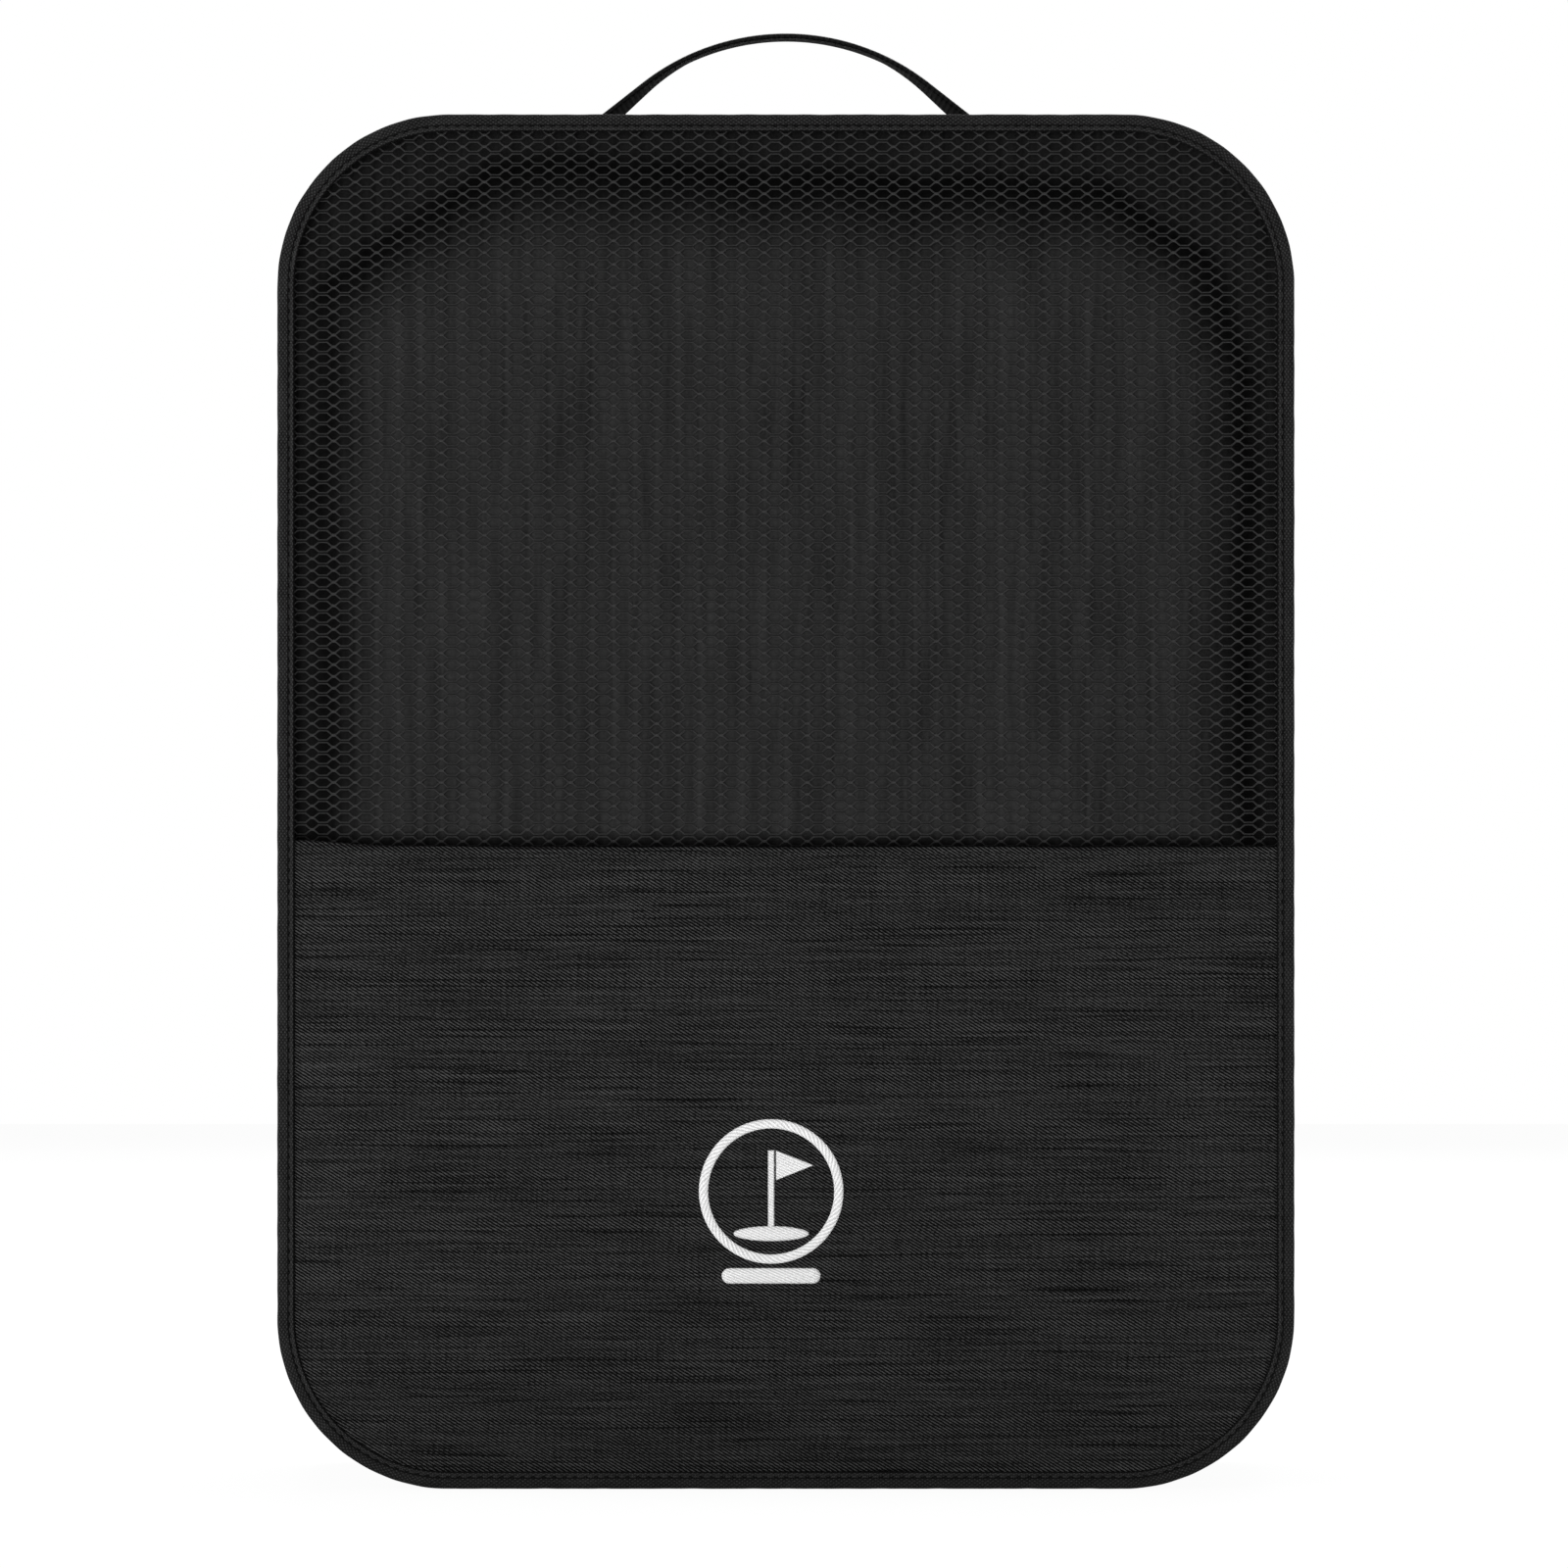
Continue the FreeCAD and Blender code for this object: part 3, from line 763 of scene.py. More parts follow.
def setLamps():
    for name, lamp in lamps.items():
        light = bpy.data.lights.new(name, "AREA")
        light.size, light.energy = lamp["size"], lamp["power"]
        made = bpy.data.objects.new(name, light)
        made.location = lamp["at"]
        aim = Vector((0, 0, 0.15)) - Vector(lamp["at"])
        made.rotation_euler = aim.to_track_quat("-Z", "Y").to_euler()
        bpy.context.scene.collection.objects.link(made)


bpy.context.scene.view_settings.view_transform = "Standard"
setCamera()
setStage()
setLamps()
print("camera, stage and lamps ready")


# Bound edges
binding = {"width": 3.8, "round": 1.2, "groove": 2.68, "grooveDepth": 0.32, "rib": 3.3, "puckers": 0.05}


def bindingSection(middle, half):
    # Insets and depths round the folded tape: a rounded edge, a sewn groove and an inner rib
    h, r, g = half / mm, binding["round"], binding["groove"]
    face = [(r * (1 - math.cos(t)), h - r * (1 - math.sin(t))) for t in np.linspace(0, math.pi / 2, 6)]
    face += [(1.7, h + 0.04), (2.2, h + 0.03), (g - 0.24, h - 0.08), (g, h - binding["grooveDepth"]),
             (g + 0.2, h - 0.1), (g + 0.4, h + 0.02), (binding["rib"], h + 0.05), (3.6, h - 0.04),
             (binding["width"], h - 0.3), (binding["width"] - 0.05, h - 0.62), (3.2, h - 0.9)]
    whole = face + [(d, -y) for d, y in reversed(face)]
    return [(d * mm, middle + y * mm) for d, y in whole]


def makeBinding(name, body, middle, half, nodes):
    waves, fine = ripples(binding["puckers"] * mm, 0.011, 3), ripples(0.03 * mm, 0.0042, 4)

    def ripple(along, inset, depth):
        side = np.sign(depth - middle)
        return waves(along) * np.exp(-inset / 0.002), side * fine(along, inset)

    walk = bagWalk(1.5 * mm)
    loft(name, walk, bindingSection(middle, half), "edgeBinding", body, nodes, "binding_tape", ripple,
         folded=True)
    for side, label in ((-1, "front"), (1, "rear")):
        path, _ = walkPath(walk, binding["groove"] * mm, middle + side * (half - 0.3 * mm))
        out = np.tile((0.0, side, 0.0), (len(path), 1))
        stitchRun(f"{name}_stitches_{label}", path, out, "binding", body, "binding_tape", closed=True)


edgeHalf = (bag["coverBack"] - bag["front"]) / 2
for side, body, y0, y1 in (("front", "front_cover", bag["front"], bag["coverBack"]),
                           ("rear", "shell", bag["shellBack"], bag["back"])):
    makeBinding(f"{side}_edge_binding", body, (y0 + y1) / 2, edgeHalf,
                [f"{side}_binding", f"{side}_binding_cord"])
print("bound edges ready")


# Front cover: lower panel with its hem, padded backing and mesh window
lower = {"crown": 1.1 * mm, "crownSide": (3.9 * mm, 22 * mm), "crownTop": (-6 * mm, 26 * mm),
         "tuck": (3.4 * mm, 5.2 * mm), "roll": (0.7 * mm, 0.75 * mm, 0.30 * mm), "hem": 1.7 * mm,
         "hemWide": 0.3 * mm, "hemDeep": 0.28 * mm, "edgeRise": 1.5 * mm, "edgeReach": 19 * mm,
         "pressure": 1.2, "cap": 1.5 * mm}
sill = corners("lower_panel")[1][2]
panelFlat = 2 * (bag["half"] - panelInset), bag["height"] - 2 * panelInset
panelArea = panelFlat[0] * panelFlat[1] - (4 - math.pi) * (bag["corner"] - panelInset) ** 2
panelFront = corners("lower_panel")[0][1]
foamBack = corners("lower_panel_foam")[1][1]


def sillRise(x):  # the hem lifts a little where it runs under the binding on the left
    left = ridge(x, -bag["half"], lower["edgeReach"], lower["edgeRise"])
    return left + ripples(0.12 * mm, 0.05, 21)(x)


def lowerFace(x, z):
    hemDistance = sill + sillRise(x) - z
    roll = ridge(hemDistance, *lower["roll"])
    groove = ridge(hemDistance, lower["hem"], lower["hemWide"], lower["hemDeep"])
    inside = smoothStep(insetAt(x, z), *lower["crownSide"]) * smoothStep(hemDistance, *lower["crownTop"])
    shown = smoothStep(insetAt(x, z), *lower["tuck"])
    return panelFront - (roll - groove) * shown - lower["crown"] * inside


def makeLowerPanel():
    made = panelSlab("lower_front_panel", 1.9 * mm, lowerFace, level(foamBack), "panel", high=sill,
                     edge=sillRise, nodes=["lower_panel", "lower_panel_foam"], slot="panel_twill")

    def free(points):
        x, y, z = points.T
        return (y < panelFront + 0.5 * mm) & (insetAt(x, z) > 5.5 * mm) & (sill - z > 3.5 * mm)

    padOut(made, free, lower, "front_cover")
    return made


lowerPanel = makeLowerPanel()
lowerTree = surfaceOf(lowerPanel)


def lowerSurface(x, z):
    hit = lowerTree.ray_cast(Vector((x, bag["front"] - 0.05, z)), Vector((0, 1, 0)))[0]
    return hit.y if hit else panelFront


def makeHemStitches():
    half = bag["half"] - binding["width"] * mm
    xs = np.linspace(-half, half, 160)
    path = [(x, 0.0, sill + float(sillRise(x)) - lower["hem"]) for x in xs]
    path = [(x, lowerSurface(x, z), z) for x, _, z in path]
    out = np.tile((0.0, -1.0, 0.0), (len(path), 1))
    stitchRun("hem_stitches", path, out, "hem", "front_cover", "panel_twill")


makeHemStitches()

# outer, full, side and sill: how much painted shade the backing gets outside the folds, on the fold lines,
# along the sides and just above the hem; the same shares also sink it
window = {"dome": 0.9 * mm, "domeSide": (4 * mm, 45 * mm), "domeFoot": (-1 * mm, 14 * mm),
          "hollow": 1.75 * mm, "line": 2.0 * mm, "outer": 0.55, "full": 0.97,
          "side": 0.66, "sideReach": (4 * mm, 12 * mm), "sideTop": (235 * mm, 262 * mm),
          "sill": 0.95, "sillReach": (0.3 * mm, 3.0 * mm), "sillYarnShadow": (0.3 * mm, 2.2 * mm),
          "folds": 0.07 * mm, "foldReach": (2 * mm, 26 * mm)}
creases = {  # folds round the padding: a point, its run's angle, how far its hollow and painted shade reach inwards, and how deep and dark it is
    "leftSide": {"x": -100.5, "z": 150.0, "turn": 90.0, "fade": 7.0, "deep": 0.84},
    "leftCorner": {"x": -65.0, "z": 289.0, "turn": 36.9, "fade": 9.0, "deep": 0.95},
    "top": {"x": 0.0, "z": 287.2, "turn": -2.4, "fade": 11.5, "deep": 0.97},
    "rightCorner": {"x": 70.0, "z": 284.6, "turn": -33.0, "fade": 9.0, "deep": 1.0},
    "rightElbow": {"x": 91.0, "z": 271.0, "turn": -70.6, "fade": 7.0, "deep": 0.95},
    "rightSide": {"x": 101.0, "z": 150.0, "turn": -90.0, "fade": 7.0, "deep": 1.0},
}
meshFront = corners("mesh_window")[0][1]
backingFront, backingBack = corners("window_backing")[0][1], corners("window_backing")[1][1]
tailLow = corners("mesh_window")[0][2]


def dome(x, z):  # how far the padding and the mesh in front of it stand forward
    inside = smoothStep(insetAt(x, z), *window["domeSide"]) * smoothStep(z - sill, *window["domeFoot"])
    return window["dome"] * inside


def creaseDistances(x, z):  # how far inside each fold's line a point lies
    wander = ripples(1.0 * mm, 0.05, 31)(x) + ripples(0.8 * mm, 0.04, 32)(z)
    for crease in creases.values():
        turn = math.radians(crease["turn"])
        across, up = x - crease["x"] * mm, z - crease["z"] * mm
        yield crease, across * math.sin(turn) - up * math.cos(turn) + wander


def valleyDistance(x, z):
    return np.minimum.reduce([inside for _, inside in creaseDistances(x, z)])


def hollowAndShadeShare(x, z):  # how far the backing sinks and how much painted shade it gets: 1 along the folds, falling to 0 on the padded middle and partly outside them, with more painted shade along the sides and just above the hem
    inner = [crease["deep"] * np.exp(-(np.maximum(inside, 0) / (crease["fade"] * mm)) ** 2)
             for crease, inside in creaseDistances(x, z)]
    outside = np.minimum(valleyDistance(x, z), 0)
    outer = window["outer"] + ridge(outside, 0, window["line"], window["full"] - window["outer"])
    side = 1 - smoothStep(insetAt(x, z), *window["sideReach"])
    side = window["side"] * side * (1 - smoothStep(z, *window["sideTop"]))
    sillShade = window["sill"] * (1 - smoothStep(z - sill - sillRise(x), *window["sillReach"]))
    folded = np.where(outside < 0, outer, np.maximum.reduce(inner))
    return np.clip(np.maximum.reduce([folded, side, sillShade]), 0, 1)


# how far the backing's folds stand forward, also used as painted light on their crests
def foldShare(x, z):
    folds = ripples(1.0, 0.028, 33)(x + ripples(3.0 * mm, 0.09, 34)(z))
    return folds * smoothStep(valleyDistance(x, z), *window["foldReach"])


def backingFace(x, z):
    folded = window["hollow"] * hollowAndShadeShare(x, z) - window["folds"] * foldShare(x, z)
    return backingFront + 0.05 * mm - dome(x, z) + folded


def makeBacking():
    made = panelSlab("padded_window_backing", 2.0 * mm, backingFace, level(backingBack), "backing",
                     low=tailLow, body="front_cover", nodes=["window_backing"], slot="backing_cloth")
    mesh = made.data
    corner = np.empty(len(mesh.loops), int)
    mesh.loops.foreach_get("vertex_index", corner)
    points = np.empty(len(mesh.vertices) * 3)
    mesh.vertices.foreach_get("co", points)
    x, _, z = points.reshape(-1, 3)[corner].T
    # painted light on the backing: the first value darkens its colour as painted shade, the second lightens
    # the fold crests
    shades = np.stack([hollowAndShadeShare(x, z) ** 0.8, foldShare(x, z) * 0.5 + 0.5], -1)
    mesh.uv_layers.new(name="painted_shade").data.foreach_set("uv", shades.astype(np.float32).ravel())
    rounder(made)


makeBacking()

net = {"across": 4.70 * mm, "up": 2.57 * mm, "yarn": 0.36 * mm, "thick": 0.28 * mm, "node": 0.45 * mm,
       "knot": 0.17 * mm, "bar": 0.92 * mm, "pair": 0.28 * mm, "edge": 3.3 * mm, "overlap": 0.08 * mm,
       "knotWide": 1.7, "barWide": 0.85, "cover": 0.38, "behind": 0.12 * mm}


def netY(x, z):
    return meshFront + net["behind"] - dome(x, z)


def netSegments():  # start, end and width of every yarn: crossings, paired bars and the slants between them
    columns = int(bag["half"] / (net["across"] / 2)) + 1
    rows = int(bag["height"] / net["up"]) + 1
    column, row = np.meshgrid(np.arange(-columns, columns + 1), np.arange(rows), indexing="ij")
    paired = column % 2 != 0
    x = column * net["across"] / 2
    z = row * net["up"] + np.where(paired, net["up"] / 2, 0.0)
    crossing, bars = ~paired, paired
    starts, ends, widths = [], [], []

    def add(x0, z0, x1, z1, width):
        starts.append(np.stack([x0, z0], -1))
        ends.append(np.stack([x1, z1], -1))
        widths.append(np.full(len(x0), width))

    cx, cz, bx, bz = x[crossing], z[crossing], x[bars], z[bars]
    add(cx - net["node"], cz, cx + net["node"], cz, net["yarn"] * net["knotWide"])
    for up in (-1, 1):
        barZ = bz + up * net["pair"]
        add(bx - net["bar"], barZ, bx + net["bar"], barZ, net["yarn"] * net["barWide"])
        for side in (-1, 1):
            farX = bx + side * (net["across"] / 2 - net["node"])
            farZ = bz + up * (net["up"] / 2 - net["knot"])
            add(bx + side * net["bar"], barZ, farX, farZ, net["yarn"])
    return np.concatenate(starts), np.concatenate(ends), np.concatenate(widths)


def makeNet():
    start, end, width = netSegments()
    middle = (start + end) / 2
    keep = (insetAt(middle[:, 0], middle[:, 1]) > net["edge"]) & (middle[:, 1] > tailLow + 1 * mm)
    start, end, width = start[keep], end[keep], width[keep]
    along = end - start
    along /= np.linalg.norm(along, axis=1, keepdims=True)
    start, end = start - along * net["overlap"], end + along * net["overlap"]
    side = np.stack([-along[:, 1], along[:, 0]], -1) * width[:, None] / 2
    points = []
    for spot in (start, end):
        y = netY(spot[:, 0], spot[:, 1])
        for lateral, lift in ((1, 0.5), (0, -1), (-1, 0.5)):  # a three-sided yarn with its ridge in front
            edge = spot + side * lateral
            points.append(np.stack([edge[:, 0], y + lift * net["thick"] / 2, edge[:, 1]], -1))
    points = np.stack(points, 1).reshape(-1, 3)
    sides = [(k, (k + 1) % 3, 3 + (k + 1) % 3, 3 + k) for k in range(3)] + [(2, 1, 0), (3, 4, 5)]
    faces = [[6 * n + k for k in side] for n in range(len(start)) for side in sides]
    order = np.array([k for face in faces for k in face])
    layout = points[order][:, [0, 2]]
    # painted shadow on the yarns just above the hem
    above = layout[:, 1] - sill - sillRise(layout[:, 0])
    shade = np.stack([1 - smoothStep(above, *window["sillYarnShadow"]), 0 * above], -1)
    made = piece("hex_mesh_net", points, faces, layout, "mesh", "front_cover", ["mesh_window"], "mesh",
                 smooth=80.0, painted_shade=shade)
    width, length = 2 * (bag["half"] - panelInset), panelTop - tailLow
    net["cover"] * width * length
    print("net yarns:", len(start))


makeNet()


def makeCoverLining():
    near, far = corners("cover_lining")[0][1], corners("cover_lining")[1][1]
    waves = ripples(0.16 * mm, 0.03, 41)

    def inner(x, z):
        edge = 1 - smoothStep(insetAt(x, z), 4 * mm, 24 * mm)
        tuck = smoothStep(insetAt(x, z), 3.4 * mm, 5 * mm)
        return far + (waves(x + z * 0.7) * edge + waves(x * 0.5 - z, x) * 0.8) * tuck

    made = panelSlab("cover_inner_lining", 3.0 * mm, level(near), inner, "lining", body="front_cover",
                     nodes=["cover_lining"], slot="lining_cloth")


makeCoverLining()
print("front cover panels ready")


# Emblem: ring, flag on a green, and a bar, in satin stitch
emblem = {"rise": 0.42 * mm, "ringRise": 0.54 * mm, "ringWide": 2.1 * mm, "lip": 0.16 * mm,
          "soften": 0.32 * mm}


def onPanel(points, sink=0.12 * mm):  # set points given as x, height and z on the lower panel's surface
    return [(x, lowerSurface(x, z) + sink - height, z) for x, height, z in points]


def makeEmblemRing():
    low, high = corners("emblem_ring")
    centreX, centreZ = (low[0] + high[0]) / 2, (low[2] + high[2]) / 2
    radius, half = (high[0] - low[0]) / 2, emblem["ringWide"] / 2
    section = [(half * math.cos(turn), emblem["ringRise"] * math.sin(turn) ** 0.7)
               for turn in np.linspace(0, math.pi, 9)]
    rows, columns = 120, len(section)
    points = []
    for i in range(rows):
        turn = 2 * math.pi * i / rows
        for across, height in section:
            reach = radius - half + across
            points.append((centreX + reach * math.cos(turn), height, centreZ + reach * math.sin(turn)))
    faces, cells = gridFaces(rows, columns, True, True)
    around = np.arange(rows + 1) * 2 * math.pi * radius / rows
    layout = gridLayout(cells, around, np.arange(columns + 1) * 0.25 * mm)
    piece("emblem_ring_stitched", onPanel(points), faces, layout, "satin", "front_cover", ["emblem_ring"],
          "embroidery", smooth=60.0)


def takeOut(work):  # points and faces of a mesh in the making
    work.verts.index_update()
    points = [corner.co[:] for corner in work.verts]
    faces = [[corner.index for corner in face.verts] for face in work.faces]
    work.free()
    return points, faces


def satinPatch(name, outlines, nodes):  # flat figures raised off the panel, each with a softened edge
    work = bmesh.new()
    for outline in outlines:
        face = work.faces.new([work.verts.new((x, 0.0, z)) for x, z in outline])
        face.normal_update()
        if face.normal.y > 0:
            face.normal_flip()
        raised = bmesh.ops.extrude_face_region(work, geom=[face])["geom"]
        tops = [part for part in raised if isinstance(part, bmesh.types.BMFace)]
        for corner in tops[0].verts:
            corner.co.y -= emblem["lip"]
        for width, rise in ((0.5, 0.6), (0.5, 0.4)):
            bmesh.ops.inset_individual(work, faces=tops, thickness=emblem["soften"] * width,
                                       depth=emblem["rise"] * rise)
        bmesh.ops.triangulate(work, faces=tops)
    points, faces = takeOut(work)
    points = onPanel([(x, -y, z) for x, y, z in points])
    piece(name, points, faces, flatLayout(points, faces, 0, 2), "satin", "front_cover", nodes, "embroidery",
          smooth=50.0)


flag = {"pinWidth": 1.4 * mm, "pinTop": 74.0 * mm, "pinFoot": 57.4 * mm, "pennant": 8.6 * mm,
        "drop": 6.6 * mm, "gap": 0.35 * mm, "greenWidth": 16.5 * mm, "greenTall": 3.3 * mm,
        "greenZ": 55.8 * mm}


def makeFlag():
    low, high = corners("emblem_ring")
    x = (low[0] + high[0]) / 2
    half, top = flag["pinWidth"] / 2, flag["pinTop"]
    pin = [(x - half, flag["pinFoot"]), (x + half, flag["pinFoot"]), (x + half, top), (x - half, top)]
    tip = (x + half + flag["pennant"], top - flag["drop"] / 2)
    inner = x + half + flag["gap"]
    pennant = [(inner, top), tip, (inner, top - flag["drop"])]
    turns = np.linspace(0, 2 * math.pi, 40, endpoint=False)
    green = [(x + flag["greenWidth"] / 2 * math.cos(t), flag["greenZ"] + flag["greenTall"] / 2 * math.sin(t))
             for t in turns]
    satinPatch("emblem_flag_stitched", [pin, pennant, green], ["emblem_flag"])


def makeBar():
    low, high = corners("emblem_bar")
    radius = (high[2] - low[2]) / 2
    z = (low[2] + high[2]) / 2
    ends = [(high[0] - radius, -0.5), (low[0] + radius, 0.5)]
    turns = [(x, math.pi * (turn + k / 10)) for x, turn in ends for k in range(11)]
    outline = [(x + radius * math.cos(turn), z + radius * math.sin(turn)) for x, turn in turns]
    satinPatch("emblem_bar_stitched", [outline], ["emblem_bar"])


makeEmblemRing()
makeFlag()
makeBar()
print("emblem ready")


# Zip: tapes, coils, end tabs, sliders and pulls
zipper = {"pitch": 1.55 * mm, "reach": 0.38 * mm, "round": 0.52 * mm, "thick": 1.2 * mm, "tape": 0.5 * mm,
          "cord": 0.35 * mm, "sides": 8,
          "rings": ((-0.5, 0.55), (-0.42, 0.95), (-0.15, 0.8), (0.2, 0.82), (0.42, 1.0), (0.5, 0.6))}


def makeTape(name, node, body, start):
    low, high = corners(node)
    inset = insetOf(node)
    sag = ripples(0.10 * mm, 0.03, 51)

    def ripple(along, insets, depth):
        return sag(along, depth) * archShare(depth, low[1], high[1]), 0 * insets

    depths = np.linspace(low[1], high[1], 9)
    section = [(inset, y) for y in depths] + [(inset + zipper["tape"], y) for y in reversed(depths)]
    walk = bagWalk(2.5 * mm, start)
    made = loft(name, walk, section, "zipTape", body, [node], "zip_tape", ripple)


def makeCoil(name, node, body, start, towards, offset):
    # Rounded coil turns that reach a little into the slot between the two rows, on their woven-in cord
    low, high = corners(node)
    inset = insetOf(node)
    thick, sides, cord = zipper["thick"], zipper["sides"], zipper["cord"]
    near, far = (low[1], high[1] + zipper["reach"]) if towards > 0 else (low[1] - zipper["reach"], high[1])
    walk = bagWalk(1.0 * mm, start)
    path, outward = walkPath(walk, inset + thick / 2, (near + far) / 2)
    run = walk["along"]
    points, faces = [], []
    for number in range(int(run[-1] / zipper["pitch"]) - 1):
        place = (number + 0.5 + offset) * zipper["pitch"]
        spot, up = spotAt(place, run, path), spotAt(place, run, outward)
        up /= np.linalg.norm(up)
        ahead = np.cross(up, (0.0, 1.0, 0.0))
        first = len(points)
        for share, swell in zipper["rings"]:
            centre = spot + np.array((0.0, share * towards * (far - near), 0.0))
            for k in range(sides):
                turn = 2 * math.pi * (k + 0.5) / sides
                swing = ahead * math.cos(turn) * zipper["round"] * 1.05 + up * math.sin(turn) * thick / 2
                points.append(centre + swing * swell)
        quads, _ = gridFaces(len(zipper["rings"]), sides, False, True, first)
        faces += quads + [[ring + k for k in range(sides)] for ring in (first, len(points) - sides)]
    layout = [(points[k][0] + points[k][1], points[k][2]) for face in faces for k in face]
    piece(name, points, faces, layout, "coil", body, [node], "zip_teeth", smooth=60.0)
    middle, edge = inset + thick * 0.5, far - cord if towards < 0 else near + cord
    turns = np.linspace(0, 2 * math.pi, 7)[:-1]
    section = [(middle + cord * math.cos(t), edge + cord * math.sin(t)) for t in turns]
    loft(name + "_cord", bagWalk(3.0 * mm, start), section, "zipTape", body, slot="zip_teeth")


for side, body in (("cover", "front_cover"), ("shell", "shell")):
    makeTape(f"{side}_zip_tape_woven", f"{side}_zip_tape", body, zipEnd[side])
makeCoil("cover_zip_coil", "cover_zip_teeth", "front_cover", zipEnd["cover"], 1, 0.0)
makeCoil("shell_zip_coil", "shell_zip_teeth", "shell", zipEnd["shell"], -1, 0.5)


def softBox(name, low, high, finish, radius, body, nodes, slot, steps=3):
    # A flat patch with rounded corners and edges
    low, high = np.array(low, float), np.array(high, float)
    centre, half = (low + high) / 2, (high - low) / 2
    thin = int(np.argmin(half))
    wide = [k for k in range(3) if k != thin]
    corner = min(radius, half[wide[0]], half[wide[1]])
    turns = []
    for quarter, (sx, sy) in enumerate(((1, 1), (-1, 1), (-1, -1), (1, -1))):
        for k in range(steps + 1):
            turn = math.pi / 2 * (quarter + k / steps)
            turns.append((sx * (half[wide[0]] - corner) + corner * math.cos(turn),
                          sy * (half[wide[1]] - corner) + corner * math.sin(turn)))
    turns = np.array(turns)
    count = len(turns)
    shrink = min(half[thin] * 0.8, corner * 0.6) / np.max(np.abs(turns), axis=0)
    points = []

    def addRing(spots, height):
        for spot in spots:
            point = np.zeros(3)
            point[wide], point[thin] = spot, height
            points.append(centre + point)

    for height, pull in ((-1.0, shrink), (-0.4, 0.0), (0.4, 0.0), (1.0, shrink)):
        addRing(turns * (1 - pull), height * half[thin])
    faces, _ = gridFaces(4, count, False, True)
    for ring, direction in ((0, -1), (3, 1)):
        inner = len(points)
        addRing(turns * 0.55, direction * half[thin])
        faces += [[ring * count + k, ring * count + (k + 1) % count, inner + (k + 1) % count, inner + k]
                  for k in range(count)]
        faces.append([inner + k for k in range(count)])
    piece(name, points, faces, flatLayout(points, faces, *wide), finish, body, nodes, slot, smooth=50.0)


endTab = {"top": 0.8 * mm, "floor": 2.0 * mm, "soft": 0.4 * mm, "edge": 0.6 * mm, "crown": 0.25 * mm}


def makeEndTab(side):
    name = f"zip_end_tab_{side}"
    low, high = corners(name)
    walk = bagWalk(0.8 * mm, zipEnd["shell"], trough=True)
    across = walk["base"][:, 0] * (1 if side == "right" else -1)
    turned = across > (low[0] if side == "right" else -high[0]) - 0.4 * mm
    part = {key: walk[key][turned] for key in ("base", "out")}
    part["along"] = runLengths(part["base"])
    part["length"], part["closed"] = part["along"][-1], False
    y0, y1 = low[1], high[1]
    top, floor, soft, edge = (endTab[key] for key in ("top", "floor", "soft", "edge"))
    section = [(floor, y0), (top + soft, y0), (top, y0 + edge), (top - endTab["crown"], (y0 + y1) / 2),
               (top, y1 - edge), (top + soft, y1), (floor, y1)]
    loft(f"{name}_folded", part, section, "binding", "shell", [name], "binding_tape")
    middle = len(part["base"]) // 2
    spot, out = part["base"][middle], part["out"][middle]
    x, z = spot - out * top
    path = [(x, y, z) for y in np.linspace(y0 + 1 * mm, y1 - 1 * mm, 12)]
    normals = np.tile((out[0], 0.0, out[1]), (len(path), 1))
    stitchRun(f"{name}_stitches", path, normals, "endTab", "shell", "binding_tape")


for side in ("right", "left"):
    makeEndTab(side)


def plate(work, outline, z0, z1):  # a flat plate between two heights, added to a mesh in the making
    ring = [work.verts.new((x, y, z0)) for x, y in outline]
    face = work.faces.new(ring)
    parts = bmesh.ops.extrude_face_region(work, geom=[face])["geom"]
    for part in parts:
        if isinstance(part, bmesh.types.BMVert):
            part.co.z = z1


def finishMesh(name, work, bevel, body, nodes, slot):
    points, faces = takeOut(work)
    layout = [(points[k][0], points[k][1] + points[k][2]) for face in faces for k in face]
    made = piece(name, points, faces, layout, "enamel", body, nodes, slot, smooth=35.0)
    softened = made.modifiers.new("Edges", "BEVEL")
    softened.width, softened.segments, softened.limit_method = bevel, 2, "ANGLE"


def roundedOutline(x0, x1, y0, y1, radius, steps=5):
    spots = []
    for number, (x, y) in enumerate(((x1 - radius, y1 - radius), (x0 + radius, y1 - radius),
                                     (x0 + radius, y0 + radius), (x1 - radius, y0 + radius))):
        for k in range(steps + 1):
            turn = math.pi / 2 * (number + k / steps)
            spots.append((x + radius * math.cos(turn), y + radius * math.sin(turn)))
    return spots


slider = {"nose": 0.62, "square": 0.55, "plate": 0.9 * mm, "lug": 1.7 * mm, "lower": 0.4 * mm,
          "post": (1.3, 0.3, 0.25), "foot": (0.4, 0.8, 0.2), "footAt": 1.8 * mm, "bridge": (2.2, 0.8, 0.35),
          "bevel": 0.12 * mm}  # post, foot and bridge: half their length and width, and their corners


